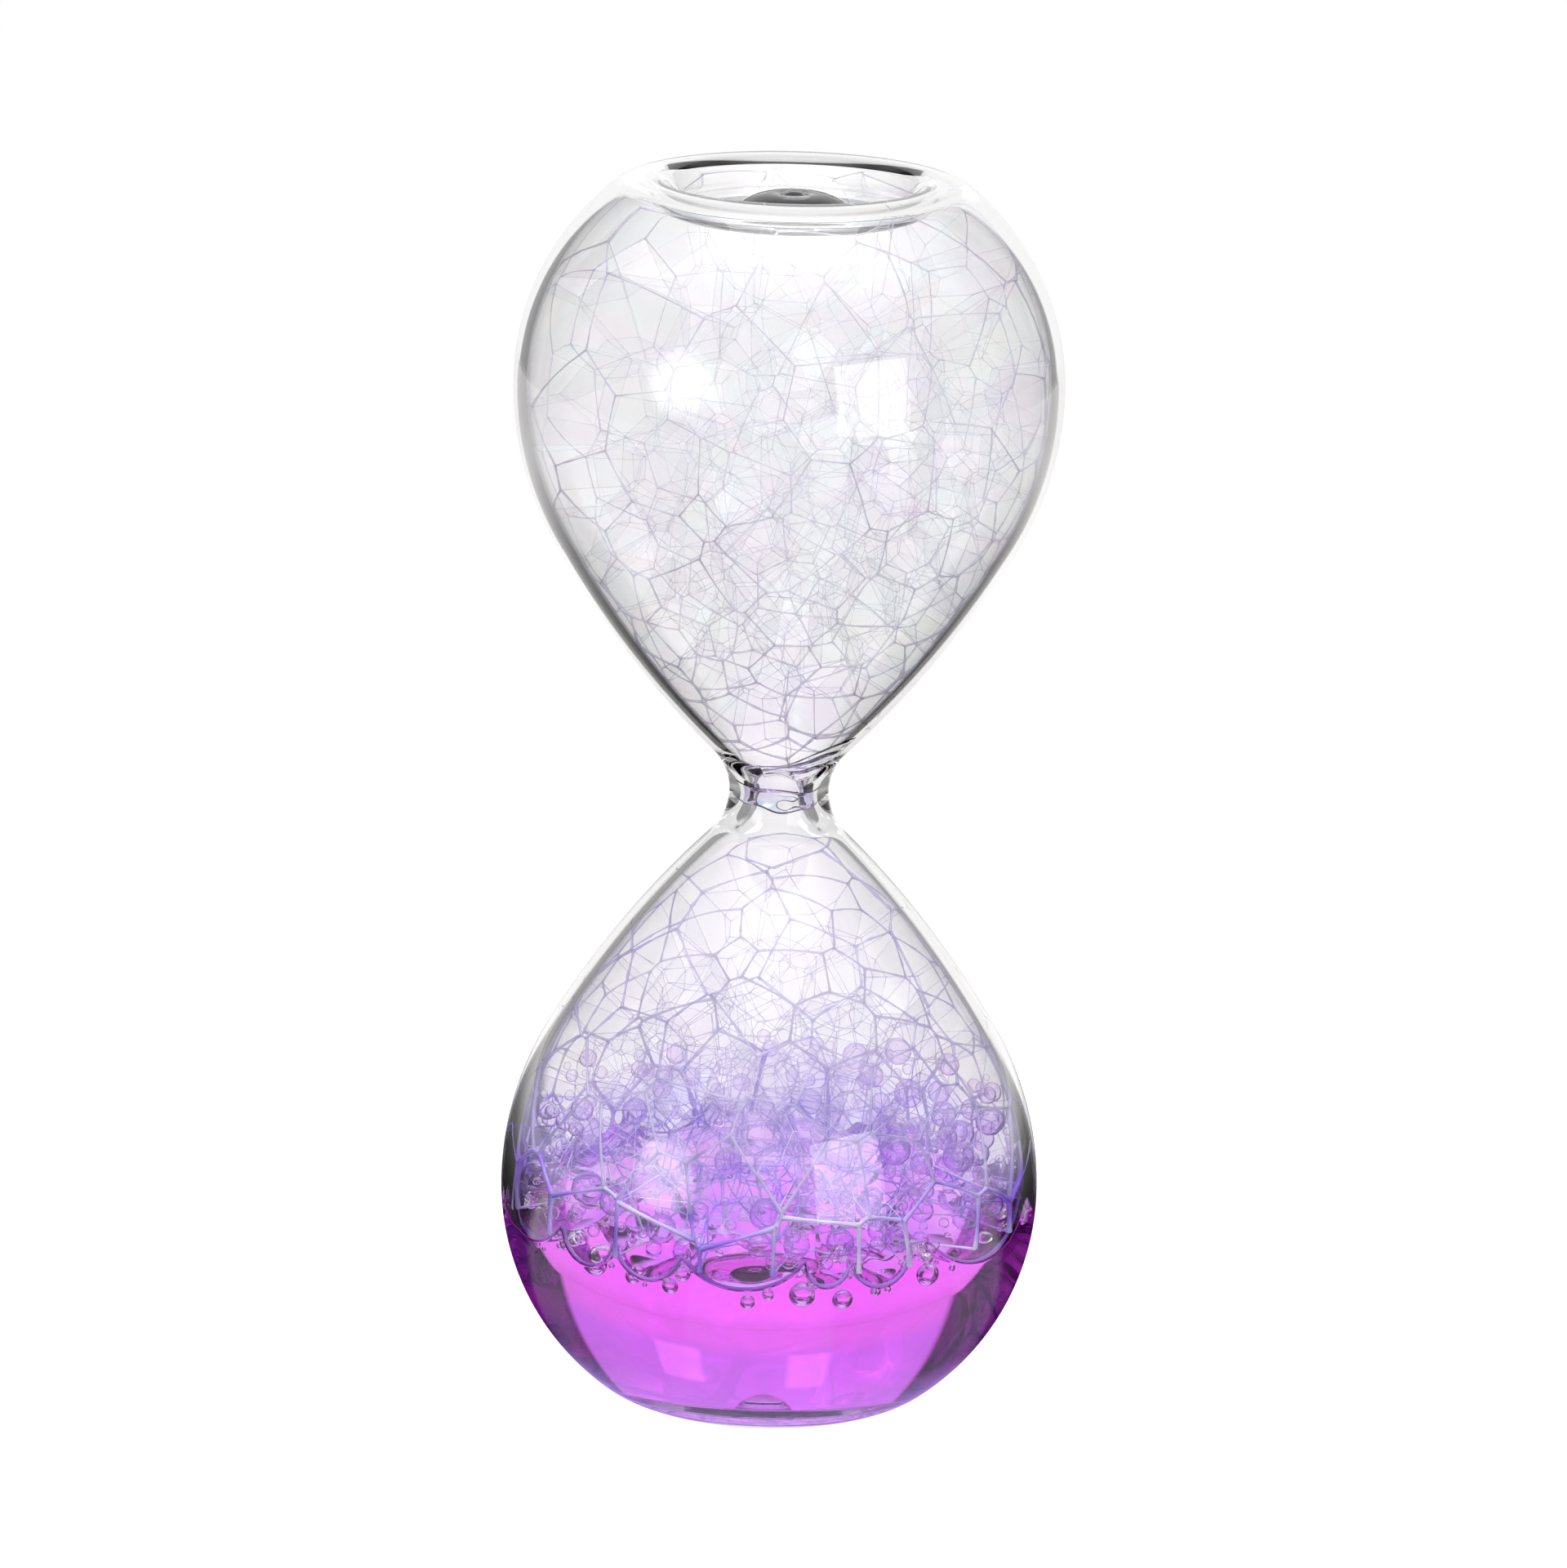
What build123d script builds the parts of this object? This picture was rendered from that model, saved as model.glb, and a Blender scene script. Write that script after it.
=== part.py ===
from build123d import *
import os
from math import atan2, cos, floor, hypot, pi, radians, sin, sqrt, tan

os.makedirs("parts", exist_ok=True)

# Glass vessel: two blown bulbs, mirror images of each other, joined at the waist
TOTAL_HEIGHT = 148.0
BULB_DIAMETER = 65.0
BELLY_HEIGHT = 24.6          # widest level above the standing ring
NECK_DIAMETER = 12.0
NECK_FILLET = 7.4            # outline radius of the waist
THROAT_BORE = 6.0
GLASS_WALL = 1.6
NECK_SLOPE_FACTOR = 1.6      # steepest flank slope over the mean slope from belly to neck
BELLY_SLOPE_FACTOR = 1.046   # slope where belly arc and flank arc meet, over the same mean
RING_DIAMETER = 36.0         # outer edge of the flat standing ring
RING_WIDTH = 1.2
SHOULDER_RADIUS = 5.0
PUNT_DEPTH = 3.0             # hollow in the end, a flat-floored cup
PUNT_WALL_SLOPE = 60.0
PUNT_FOOT_RADIUS = 2.4
PUNT_FOLD_RADIUS = 0.8

# Filling hole in each punt and the melted pip that seals it
FILL_HOLE_DIAMETER = 5.0
PIP_DIAMETER = 12.5
PIP_DROP = 1.6               # how far the pip stands out of the punt
PIP_RISE = 1.2               # how far its root swells into the bulb
PIP_TIP_SHARE = 0.25         # drawn-off tip over the whole pip, in radius and in drop
PIP_FULL_RADIUS = 0.75       # fullest point of the button's side, as a share of its radius
PIP_FULL_DROP = 0.55         # and as a share of its drop

# Liquid
CONTENTS_CLEARANCE = 0.3     # gap between the glass and everything that can turn inside
POOL_LEVEL = 24.0
THROAT_FILM_HEIGHT = 3.2
THROAT_FILM_THICKNESS = 0.7
RIVULET_START = 0.5          # lower end of the rivulet, up the flank from the throat rounding
RIVULET_LENGTH = 6.5
RIVULET_THICKNESS = 0.8
RIVULET_SWEEP = 75.0
RIVULET_AZIMUTH = -75.0      # direction of its middle, seen from above

# Foam
FILM_THICKNESS = 0.5         # soap film between two gas cells, and skin of a wet bubble
FILM_GAP = 0.3               # gap between a bubble and what it rests on
WET_BUBBLE_DIAMETER = 11.0
WET_BUBBLE_SINK = 3.7        # how deep the wet bubbles press into the pool
WET_RING_TURN = -134.5       # direction in which each ring of wet bubbles starts
LOWER_CELL_SIZE = 10.0
UPPER_CELL_SIZE = 11.5
LOWER_FOAM_TOP = 5.0         # distance of the lower foam from the waist
UPPER_FOAM_BOTTOM = 10.6     # distance of the upper foam from the waist
FOAM_WOBBLE = 0.18           # height scatter of the cells within a layer
WOBBLE_STEP = 2.4            # phase of that scatter from one cell to the next
LAYER_HEIGHT = 0.85          # height of a layer over the cell size
LAYER_TURN = 1.3             # turn from one layer to the next
LOWER_FOAM_TURN = 0.4        # turn of the whole foam in each bulb
UPPER_FOAM_TURN = 1.1
CELL_BLOCK = 3               # block that a cell is cut from, over the cell size
NEIGHBOUR_REACH = 2.4        # how far off a cell can have a neighbour, over the cell size
GOLDEN_ANGLE = pi * (3 - sqrt(5))

# Free bubbles under the wet foam: direction seen from above and diameter
BUBBLE_WALL_GAP = 1.5
FREE_BUBBLES = {
    "surface_bubble_left": (-134.5, 3.4),
    "surface_bubble_centre": (-81.5, 3.2),
    "surface_bubble_small": (-72.0, 2.4),
    "surface_bubble_right": (-49.5, 2.8),
    "surface_bubble_far_right": (-24.0, 2.0),
}

WAIST = TOTAL_HEIGHT / 2
BELLY_RADIUS = BULB_DIAMETER / 2
RING_OUTER = RING_DIAMETER / 2
RING_INNER = RING_OUTER - RING_WIDTH
CONTENTS_INSET = GLASS_WALL + CONTENTS_CLEARANCE

# Outline arcs of the lower bulb as (radius, height) centres: flank and belly above the
# widest level, hip and shoulder below it, foot and fold in the punt
mean_slope = atan2(BELLY_RADIUS - NECK_DIAMETER / 2, WAIST - BELLY_HEIGHT)
neck_slope = NECK_SLOPE_FACTOR * mean_slope
belly_slope = BELLY_SLOPE_FACTOR * mean_slope
reach_r = BELLY_RADIUS - NECK_DIAMETER / 2 - NECK_FILLET * (1 - cos(neck_slope))
reach_z = WAIST - BELLY_HEIGHT - NECK_FILLET * sin(neck_slope)
flank_r = cos(belly_slope) - cos(neck_slope)
flank_z = sin(neck_slope) - sin(belly_slope)
belly_r = 1 - cos(belly_slope)
belly_z = sin(belly_slope)
determinant = flank_r * belly_z - flank_z * belly_r
FLANK_RADIUS = (reach_r * belly_z - reach_z * belly_r) / determinant
BELLY_ARC_RADIUS = (reach_z * flank_r - reach_r * flank_z) / determinant
BELLY_CENTRE = (BELLY_RADIUS - BELLY_ARC_RADIUS, BELLY_HEIGHT)
FLANK_CENTRE = (
    BELLY_CENTRE[0] - (FLANK_RADIUS - BELLY_ARC_RADIUS) * cos(belly_slope),
    BELLY_CENTRE[1] - (FLANK_RADIUS - BELLY_ARC_RADIUS) * sin(belly_slope),
)
hip_r = BELLY_RADIUS - RING_OUTER
hip_z = BELLY_HEIGHT - SHOULDER_RADIUS
HIP_RADIUS = (hip_r**2 + hip_z**2 - SHOULDER_RADIUS**2) / (2 * (hip_r - SHOULDER_RADIUS))
HIP_CENTRE = (BELLY_RADIUS - HIP_RADIUS, BELLY_HEIGHT)
SHOULDER_CENTRE = (RING_OUTER, SHOULDER_RADIUS)
hip_slope = atan2(hip_z, RING_OUTER - HIP_CENTRE[0])
punt_slope = radians(PUNT_WALL_SLOPE)
punt_rounding = PUNT_FOOT_RADIUS + PUNT_FOLD_RADIUS
punt_rise = PUNT_DEPTH - punt_rounding * (1 - cos(punt_slope))
FLOOR_RADIUS = RING_INNER - punt_rounding * sin(punt_slope) - punt_rise / tan(punt_slope)
FOOT_CENTRE = (RING_INNER, PUNT_FOOT_RADIUS)
FOLD_CENTRE = (FLOOR_RADIUS, PUNT_DEPTH - PUNT_FOLD_RADIUS)


def on_circle(centre, radius, angle):
    return (centre[0] + radius * cos(angle), centre[1] + radius * sin(angle))


def arc(centre, radius, start, end):
    middle = (start + end) / 2
    return ThreePointArc(*(on_circle(centre, radius, a) for a in (start, middle, end)))


def cap(apex, rim):
    """Arc from a height on the axis, where it runs level, to a rim point."""
    rise = apex - rim[1]
    radius = (rim[0] ** 2 + rise**2) / (2 * rise)
    centre = (0, apex - radius)
    start = pi / 2 if radius > 0 else -pi / 2
    return arc(centre, abs(radius), start, atan2(rim[1] - centre[1], rim[0]))


def throat_circle(inset, throat_radius):
    """Circle that rounds the waist: touches the flank arc and has a level tangent."""
    across = throat_radius - FLANK_CENTRE[0]
    up = WAIST - FLANK_CENTRE[1]
    flank = FLANK_RADIUS - inset
    radius = (across**2 + up**2 - flank**2) / (2 * (flank - across))
    return (throat_radius + radius, WAIST), radius, atan2(up, across + radius)


def outline(inset, throat_radius):
    """Edges from the waist down to the axis, moved inwards by the inset."""
    throat_centre, throat, slope = throat_circle(inset, throat_radius)
    foot_end = on_circle(FOOT_CENTRE, PUNT_FOOT_RADIUS - inset, -pi / 2 - punt_slope)
    fold_start = on_circle(FOLD_CENTRE, PUNT_FOLD_RADIUS + inset, pi / 2 - punt_slope)
    return [
        arc(throat_centre, throat, pi, pi + slope),
        arc(FLANK_CENTRE, FLANK_RADIUS - inset, slope, belly_slope),
        arc(BELLY_CENTRE, BELLY_ARC_RADIUS - inset, belly_slope, 0),
        arc(HIP_CENTRE, HIP_RADIUS - inset, 0, -hip_slope),
        arc(SHOULDER_CENTRE, SHOULDER_RADIUS - inset, -hip_slope, -pi / 2),
        Line((RING_OUTER, inset), (RING_INNER, inset)),
        arc(FOOT_CENTRE, PUNT_FOOT_RADIUS - inset, -pi / 2, -pi / 2 - punt_slope),
        Line(foot_end, fold_start),
        arc(FOLD_CENTRE, PUNT_FOLD_RADIUS + inset, pi / 2 - punt_slope, pi / 2),
        Line((FLOOR_RADIUS, PUNT_DEPTH + inset), (0, PUNT_DEPTH + inset)),
    ]


def spin(edges, sweep=360.0):
    """Solid of revolution about the vertical axis from a closed outline."""
    return revolve(Plane.XZ * make_face(edges), Axis.Z, sweep)


def filled(inset, throat_radius):
    edges = outline(inset, throat_radius)
    edges.append(Line((0, PUNT_DEPTH + inset), (0, WAIST)))
    edges.append(Line((0, WAIST), (throat_radius, WAIST)))
    return spin(edges)


def inner_radius(height, inset):
    """Radius of the bulb at a height between its shoulder and its flank."""
    hand_over = BELLY_HEIGHT + (BELLY_ARC_RADIUS - inset) * sin(belly_slope)
    centre, radius = HIP_CENTRE, HIP_RADIUS
    if height > BELLY_HEIGHT:
        centre, radius = BELLY_CENTRE, BELLY_ARC_RADIUS
    if height > hand_over:
        centre, radius = FLANK_CENTRE, FLANK_RADIUS
    return centre[0] + sqrt((radius - inset) ** 2 - (height - centre[1]) ** 2)


def upside_down(shape):
    """The same shape at the other end of the timer."""
    return mirror(shape, Plane.XY.offset(WAIST))


def save(name, solids):
    shape = solids[0] if len(solids) == 1 else Compound(children=solids)
    shape.label = name
    export_step(shape, f"parts/{name}.step")


# Glass bulbs with a filling hole through the punt
hole_radius = FILL_HOLE_DIAMETER / 2
fill_hole = Cylinder(hole_radius, 4 * PUNT_DEPTH + 4 * GLASS_WALL)
hollow = filled(GLASS_WALL, THROAT_BORE / 2)
lower_bulb = filled(0, NECK_DIAMETER / 2) - hollow - fill_hole
save("lower_bulb", [lower_bulb.solid()])
save("upper_bulb", [upside_down(lower_bulb).solid()])

# Seal pips: root in the hole, button outside, small drawn-off tip
pip_radius = PIP_DIAMETER / 2
pip_low = PUNT_DEPTH - PIP_DROP
root_top = PUNT_DEPTH + GLASS_WALL + PIP_RISE
root_low = (hole_radius, PUNT_DEPTH)
root_high = (hole_radius, PUNT_DEPTH + GLASS_WALL)
pip_edge = (pip_radius, PUNT_DEPTH)
tip_edge = (pip_radius * PIP_TIP_SHARE, pip_low + PIP_DROP * PIP_TIP_SHARE)
button_middle = (pip_radius * PIP_FULL_RADIUS, PUNT_DEPTH - PIP_DROP * PIP_FULL_DROP)
pip_outline = [
    Line((0, pip_low), (0, root_top)),
    cap(root_top, root_high),
    Line(root_high, root_low),
    Line(root_low, pip_edge),
    ThreePointArc(pip_edge, button_middle, tip_edge),
    cap(pip_low, tip_edge),
]
lower_seal_pip = spin(pip_outline)
save("lower_seal_pip", [lower_seal_pip.solid()])
save("upper_seal_pip", [upside_down(lower_seal_pip).solid()])

# Space the contents can fill in one bulb, clear of the glass and of the pip root
root_space = Cylinder(
    hole_radius + 3 * CONTENTS_CLEARANCE,
    2 * (root_top + CONTENTS_CLEARANCE),
)
contents_space = filled(CONTENTS_INSET, THROAT_BORE / 2 - CONTENTS_CLEARANCE) - root_space

# Wet bubbles: rings of round bubbles half sunk in the pool
wet_radius = WET_BUBBLE_DIAMETER / 2
wet_height = POOL_LEVEL - WET_BUBBLE_SINK + wet_radius
wet_pitch = WET_BUBBLE_DIAMETER + FILM_GAP
wet_centres = []
ring = inner_radius(POOL_LEVEL, CONTENTS_INSET) - wet_radius - 3 * FILM_GAP
while ring > wet_pitch / 2:
    count = floor(2 * pi * ring / wet_pitch)
    for i in range(count):
        turn = 2 * pi * (i + 0.5) / count + radians(WET_RING_TURN)
        wet_centres.append((ring * cos(turn), ring * sin(turn)))
    ring -= wet_pitch
wet_centres.append((0, 0))
skin = Sphere(wet_radius) - Sphere(wet_radius - FILM_THICKNESS)
save("wet_foam", [(Pos(x, y, wet_height) * skin).solid() for x, y in wet_centres])


def rest_height(x, y, radius):
    """Height at which a rising bubble meets the underside of the wet foam."""
    film = 3 * FILM_GAP
    reach = wet_radius + radius + film
    drops = [wet_height - POOL_LEVEL + radius + film]
    for wet_x, wet_y in wet_centres:
        aside = hypot(x - wet_x, y - wet_y)
        if aside < reach:
            drops.append(sqrt(reach**2 - aside**2))
    return wet_height - max(drops)


# Free bubbles and the pool with a dimple or pocket for every bubble
pockets = [Pos(x, y, wet_height) * Sphere(wet_radius + FILM_GAP) for x, y in wet_centres]
for name, (azimuth, diameter) in FREE_BUBBLES.items():
    radius = diameter / 2
    off_axis = inner_radius(POOL_LEVEL, CONTENTS_INSET) - BUBBLE_WALL_GAP - radius
    x = off_axis * cos(radians(azimuth))
    y = off_axis * sin(radians(azimuth))
    place = Pos(x, y, rest_height(x, y, radius))
    save(name, [(place * Sphere(radius)).solid()])
    pockets.append(place * Sphere(radius + FILM_GAP))
pool_block = Pos(0, 0, POOL_LEVEL / 2) * Cylinder(BULB_DIAMETER, POOL_LEVEL)
liquid_pool = contents_space & pool_block
for pocket in pockets:
    liquid_pool -= pocket
save("liquid_pool", [max(liquid_pool.solids(), key=lambda s: s.volume)])

# Liquid left on the glass: a ring in the throat and a rivulet above it
throat_centre, throat_arc_radius, throat_slope = throat_circle(GLASS_WALL, THROAT_BORE / 2)
film_turn = atan2(THROAT_FILM_HEIGHT / 2, throat_arc_radius)
film_low = on_circle(throat_centre, throat_arc_radius, pi + film_turn)
film_high = on_circle(throat_centre, throat_arc_radius, pi - film_turn)
film_inside = (THROAT_BORE / 2 - THROAT_FILM_THICKNESS, WAIST)
throat_film = spin(
    [
        arc(throat_centre, throat_arc_radius, pi + film_turn, pi - film_turn),
        ThreePointArc(film_high, film_inside, film_low),
    ]
)
save("throat_film", [throat_film.solid()])

flank_inner = FLANK_RADIUS - GLASS_WALL
start_turn = throat_slope - RIVULET_START / flank_inner
end_turn = start_turn - RIVULET_LENGTH / flank_inner
middle_turn = (start_turn + end_turn) / 2
rivulet_crest = on_circle(FLANK_CENTRE, flank_inner - RIVULET_THICKNESS, middle_turn)
rivulet = spin(
    [
        arc(FLANK_CENTRE, flank_inner, start_turn, end_turn),
        ThreePointArc(
            on_circle(FLANK_CENTRE, flank_inner, end_turn),
            rivulet_crest,
            on_circle(FLANK_CENTRE, flank_inner, start_turn),
        ),
    ],
    RIVULET_SWEEP,
)
drain_rivulet = Rot(0, 0, RIVULET_AZIMUTH - RIVULET_SWEEP / 2) * upside_down(rivulet)
save("drain_rivulet", [drain_rivulet.solid()])


def foam_seeds(bottom, top, cell_size, phase):
    """Middles of the gas cells in a foam column: level layers, spread by the golden angle."""
    layers = max(1, round((top - bottom) / (LAYER_HEIGHT * cell_size)))
    pitch = (top - bottom) / layers
    seeds = []
    for layer in range(layers):
        height = bottom + (layer + 0.5) * pitch
        radius = inner_radius(height, CONTENTS_INSET)
        count = max(1, round(pi * radius**2 / cell_size**2))
        for i in range(count):
            turn = i * GOLDEN_ANGLE + phase + LAYER_TURN * layer
            off_axis = radius * sqrt((i + 0.5) / count) if count > 1 else 0
            lift = FOAM_WOBBLE * pitch * sin(WOBBLE_STEP * i + layer)
            seeds.append(Vector(off_axis * cos(turn), off_axis * sin(turn), height + lift))
    return seeds


def gas_cells(seeds, cell_size):
    """Flat-sided cells around the seeds, parted by a soap film half way to each neighbour."""
    cells = []
    for seed in seeds:
        block = CELL_BLOCK * cell_size
        cell = Pos(seed) * Box(block, block, block)
        steps = sorted((other - seed for other in seeds), key=lambda step: step.length)
        for step in steps[1:]:
            if step.length < NEIGHBOUR_REACH * cell_size:
                half_way = seed + step / 2 - step.normalized() * (FILM_THICKNESS / 2)
                cell = split(cell, Plane(half_way, z_dir=step), Keep.BOTTOM)
        cells.append(cell.solid())
    return cells


def film_lattices(bottom, top, cell_size, phase, zones):
    """Soap films of a foam column in level zones: their space with the gas cells taken out."""
    cells = gas_cells(foam_seeds(bottom, top, cell_size, phase), cell_size)
    height = (top - bottom) / zones
    lattices = []
    for zone in range(zones):
        low = bottom + zone * height
        slab = Pos(0, 0, low + height / 2) * Cylinder(BULB_DIAMETER, height)
        boxes = [cell.bounding_box() for cell in cells]
        near = [c for c, box in zip(cells, boxes) if box.max.Z > low and box.min.Z < low + height]
        lattice = (contents_space & slab) - near
        lattices.append(max(lattice.solids(), key=lambda solid: solid.volume))
    return lattices


# Dry foam in the lower bulb, from the wet bubbles up to the throat
lower_bottom = wet_height + wet_radius + FILM_GAP
lower_zones = ("lower_foam_base", "lower_foam_middle", "lower_foam_peak")
lower_films = film_lattices(
    lower_bottom, WAIST - LOWER_FOAM_TOP, LOWER_CELL_SIZE, LOWER_FOAM_TURN, len(lower_zones)
)
for name, lattice in zip(lower_zones, lower_films):
    save(name, [lattice])

# Dry foam in the upper bulb, built as if it stood in the lower bulb and then turned over
upper_bottom = PUNT_DEPTH + CONTENTS_INSET + PIP_RISE
upper_zones = ("upper_foam_crown", "upper_foam_middle", "upper_foam_base")
upper_films = film_lattices(
    upper_bottom, WAIST - UPPER_FOAM_BOTTOM, UPPER_CELL_SIZE, UPPER_FOAM_TURN, len(upper_zones)
)
for name, lattice in zip(upper_zones, upper_films):
    save(name, [upside_down(lattice).solid()])
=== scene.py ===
import math
import bpy
import bmesh
import numpy as np
from mathutils import Matrix, Vector


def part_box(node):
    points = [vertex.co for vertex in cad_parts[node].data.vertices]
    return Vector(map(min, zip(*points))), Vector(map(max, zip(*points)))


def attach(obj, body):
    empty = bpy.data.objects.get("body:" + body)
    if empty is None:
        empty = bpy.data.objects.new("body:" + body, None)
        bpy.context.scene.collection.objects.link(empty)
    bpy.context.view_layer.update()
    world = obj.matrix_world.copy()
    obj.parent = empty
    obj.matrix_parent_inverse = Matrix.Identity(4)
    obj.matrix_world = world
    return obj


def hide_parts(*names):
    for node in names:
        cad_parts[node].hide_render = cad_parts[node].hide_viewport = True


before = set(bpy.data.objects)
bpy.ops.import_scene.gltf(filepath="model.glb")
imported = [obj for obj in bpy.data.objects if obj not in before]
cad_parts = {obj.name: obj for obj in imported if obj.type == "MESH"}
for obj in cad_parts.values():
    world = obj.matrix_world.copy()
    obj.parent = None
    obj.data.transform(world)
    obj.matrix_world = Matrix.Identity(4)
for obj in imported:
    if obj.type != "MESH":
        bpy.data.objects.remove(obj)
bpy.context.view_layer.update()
scene = bpy.context.scene
rng = np.random.default_rng(11)
MM = 0.001

# Outline of the glass in millimetres: arcs of the lower bulb, mirrored for the upper one
WAIST = 74.0
WALL = 1.6
BELLY_Z = 24.6
BELLY_R = 32.5
NECK_R = 6.0
BORE_R = 3.0
NECK_FILLET = 7.4
NECK_SLOPE_SHARE = 1.6
BELLY_SLOPE_SHARE = 1.046
RING_OUT = 18.0
RING_IN = 16.8
SHOULDER = 5.0
PUNT = 3.0
PUNT_FOOT = 2.4
PUNT_FOLD = 0.8
PUNT_CUP = math.radians(60)
HOLE_R = 2.5
ROOT_RISE = 1.2
LEVEL = 24.0

# Radii of the flank and the belly, from how far in and how far up their arcs have to reach together
mean_slope = math.atan2(BELLY_R - NECK_R, WAIST - BELLY_Z)
neck_slope = NECK_SLOPE_SHARE * mean_slope
belly_slope = BELLY_SLOPE_SHARE * mean_slope
reach_r = BELLY_R - NECK_R - NECK_FILLET * (1 - math.cos(neck_slope))
reach_z = WAIST - BELLY_Z - NECK_FILLET * math.sin(neck_slope)
fr = math.cos(belly_slope) - math.cos(neck_slope)
fz = math.sin(neck_slope) - math.sin(belly_slope)
br = 1 - math.cos(belly_slope)
bz = math.sin(belly_slope)
det = fr * bz - fz * br
FLANK = (reach_r * bz - reach_z * br) / det
BELLY = (reach_z * fr - reach_r * fz) / det
BELLY_C = (BELLY_R - BELLY, BELLY_Z)
FLANK_C = (
    BELLY_C[0] - (FLANK - BELLY) * math.cos(belly_slope),
    BELLY_C[1] - (FLANK - BELLY) * math.sin(belly_slope),
)


def profile(inset, throat_r, step):
    """Points (r, z) from the waist down to the axis, moved inwards by the inset."""
    reach = BELLY_R - RING_OUT
    drop = BELLY_Z - SHOULDER
    hip = (reach**2 + drop**2 - SHOULDER**2) / (2 * (reach - SHOULDER))
    hip_c = (BELLY_R - hip, BELLY_Z)
    hip_slope = math.atan2(drop, RING_OUT - hip_c[0])
    rise = PUNT - (PUNT_FOOT + PUNT_FOLD) * (1 - math.cos(PUNT_CUP))
    floor_r = RING_IN - (PUNT_FOOT + PUNT_FOLD) * math.sin(PUNT_CUP) - rise / math.tan(PUNT_CUP)
    across = throat_r - FLANK_C[0]
    up = WAIST - FLANK_C[1]
    flank = FLANK - inset
    neck = (across**2 + up**2 - flank**2) / (2 * (flank - across))
    slope = math.atan2(up, across + neck)
    arcs = [
        ((throat_r + neck, WAIST), neck, math.pi, math.pi + slope),
        (FLANK_C, flank, slope, belly_slope),
        (BELLY_C, BELLY - inset, belly_slope, 0),
        (hip_c, hip - inset, 0, -hip_slope),
        ((RING_OUT, SHOULDER), SHOULDER - inset, -hip_slope, -math.pi / 2),
        ((RING_IN, PUNT_FOOT), PUNT_FOOT - inset, -math.pi / 2, -math.pi / 2 - PUNT_CUP),
        ((floor_r, PUNT - PUNT_FOLD), PUNT_FOLD + inset, math.pi / 2 - PUNT_CUP, math.pi / 2),
    ]
    pts = []
    for c, r, a, b in arcs:
        n = max(3, int(abs(b - a) * r / step) + 1)
        for i in range(n):
            t = a + (b - a) * i / n
            pts.append((c[0] + r * math.cos(t), c[1] + r * math.sin(t)))
    n = int(floor_r / step) + 1
    pts += [(floor_r * (1 - i / n), PUNT + inset) for i in range(n + 1)]
    return pts


def mirrored(outline):
    """Outline points of the lower bulb, moved to the upper one."""
    return [(r, 2 * WAIST - z) for r, z in outline]


def flip(points):
    """Points in the lower bulb, moved to the upper one."""
    out = np.array(points, float)
    out[:, 2] = 2 * WAIST - out[:, 2]
    return out


def polar(azimuth, radius, z):
    """Point at an azimuth in degrees that counts from the front."""
    t = math.radians(azimuth - 90)
    return (radius * math.cos(t), radius * math.sin(t), z)


def draw(low, high, power=1.0):
    """Random number from low to high, more often near low for a power above 1."""
    return low + (high - low) * rng.random() ** power


# Room for the foam: the inside of the lower bulb, a hair within the glass
FOAM_GAP = 0.12
ROOM_STEP = 0.25
AXIS_R = 0.01
BATCH = 4000
room = np.array(profile(WALL + FOAM_GAP, BORE_R - FOAM_GAP, ROOM_STEP))
room = room[room[:, 0] > AXIS_R]


def to_wall(points):
    """Nearest points on the inside of the lower bulb, and distances that are positive inside it."""
    points = np.asarray(points, float)
    r = np.hypot(points[:, 0], points[:, 1])
    rz = np.stack([r, points[:, 2]], 1)
    best = np.empty(len(rz), int)
    for s in range(0, len(rz), BATCH):
        d = ((rz[s:s + BATCH, None, :] - room[None]) ** 2).sum(2)
        best[s:s + BATCH] = d.argmin(1)
    w = room[best]
    tangent = room[np.minimum(best + 1, len(room) - 1)] - room[np.maximum(best - 1, 0)]
    normal = np.stack([tangent[:, 1], -tangent[:, 0]], 1)
    normal /= np.linalg.norm(normal, axis=1)[:, None]
    dist = ((rz - w) * normal).sum(1)
    unit = points[:, :2] / np.maximum(r, 1e-6)[:, None]
    foot = np.concatenate([unit * w[:, :1], w[:, 1:]], 1)
    return foot, dist


# Meshes and objects
def add_object(name, data):
    obj = bpy.data.objects.new(name, data)
    scene.collection.objects.link(obj)
    return obj


def smooth(mesh):
    mesh.polygons.foreach_set("use_smooth", [True] * len(mesh.polygons))


def new_mesh(name, verts, faces, rounded=True):
    mesh = bpy.data.meshes.new(name)
    mesh.from_pydata([tuple(v) for v in verts], [], faces)
    mesh.validate()
    mesh.update()
    if rounded:
        smooth(mesh)
    return add_object(name, mesh)


def bm_object(name, bm):
    """Object made from a bmesh, which is used up."""
    mesh = bpy.data.meshes.new(name)
    bm.to_mesh(mesh)
    bm.free()
    return add_object(name, mesh)


def face_outwards(obj, weld=0.0):
    """Joins vertices within the weld distance and turns all faces outwards."""
    bm = bmesh.new()
    bm.from_mesh(obj.data)
    if weld:
        bmesh.ops.remove_doubles(bm, verts=bm.verts, dist=weld)
    bmesh.ops.recalc_face_normals(bm, faces=bm.faces)
    bm.to_mesh(obj.data)
    bm.free()


def ring_quads(rings, sides, closed=False):
    """Quads between each ring of points and the next, and from the last to the first if closed."""
    quads = []
    for i in range(rings if closed else rings - 1):
        here = i * sides
        there = (i + 1) % rings * sides
        for k in range(sides):
            j = (k + 1) % sides
            quads.append((here + k, here + j, there + j, there + k))
    return quads


def place(obj, mat, body, nodes, shadow=True):
    obj.data.materials.append(mat)
    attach(obj, body)
    if nodes:
        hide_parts(*nodes)
    obj.visible_shadow = shadow
    return obj


# Node trees
WHITE = (1, 1, 1, 1)


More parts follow.
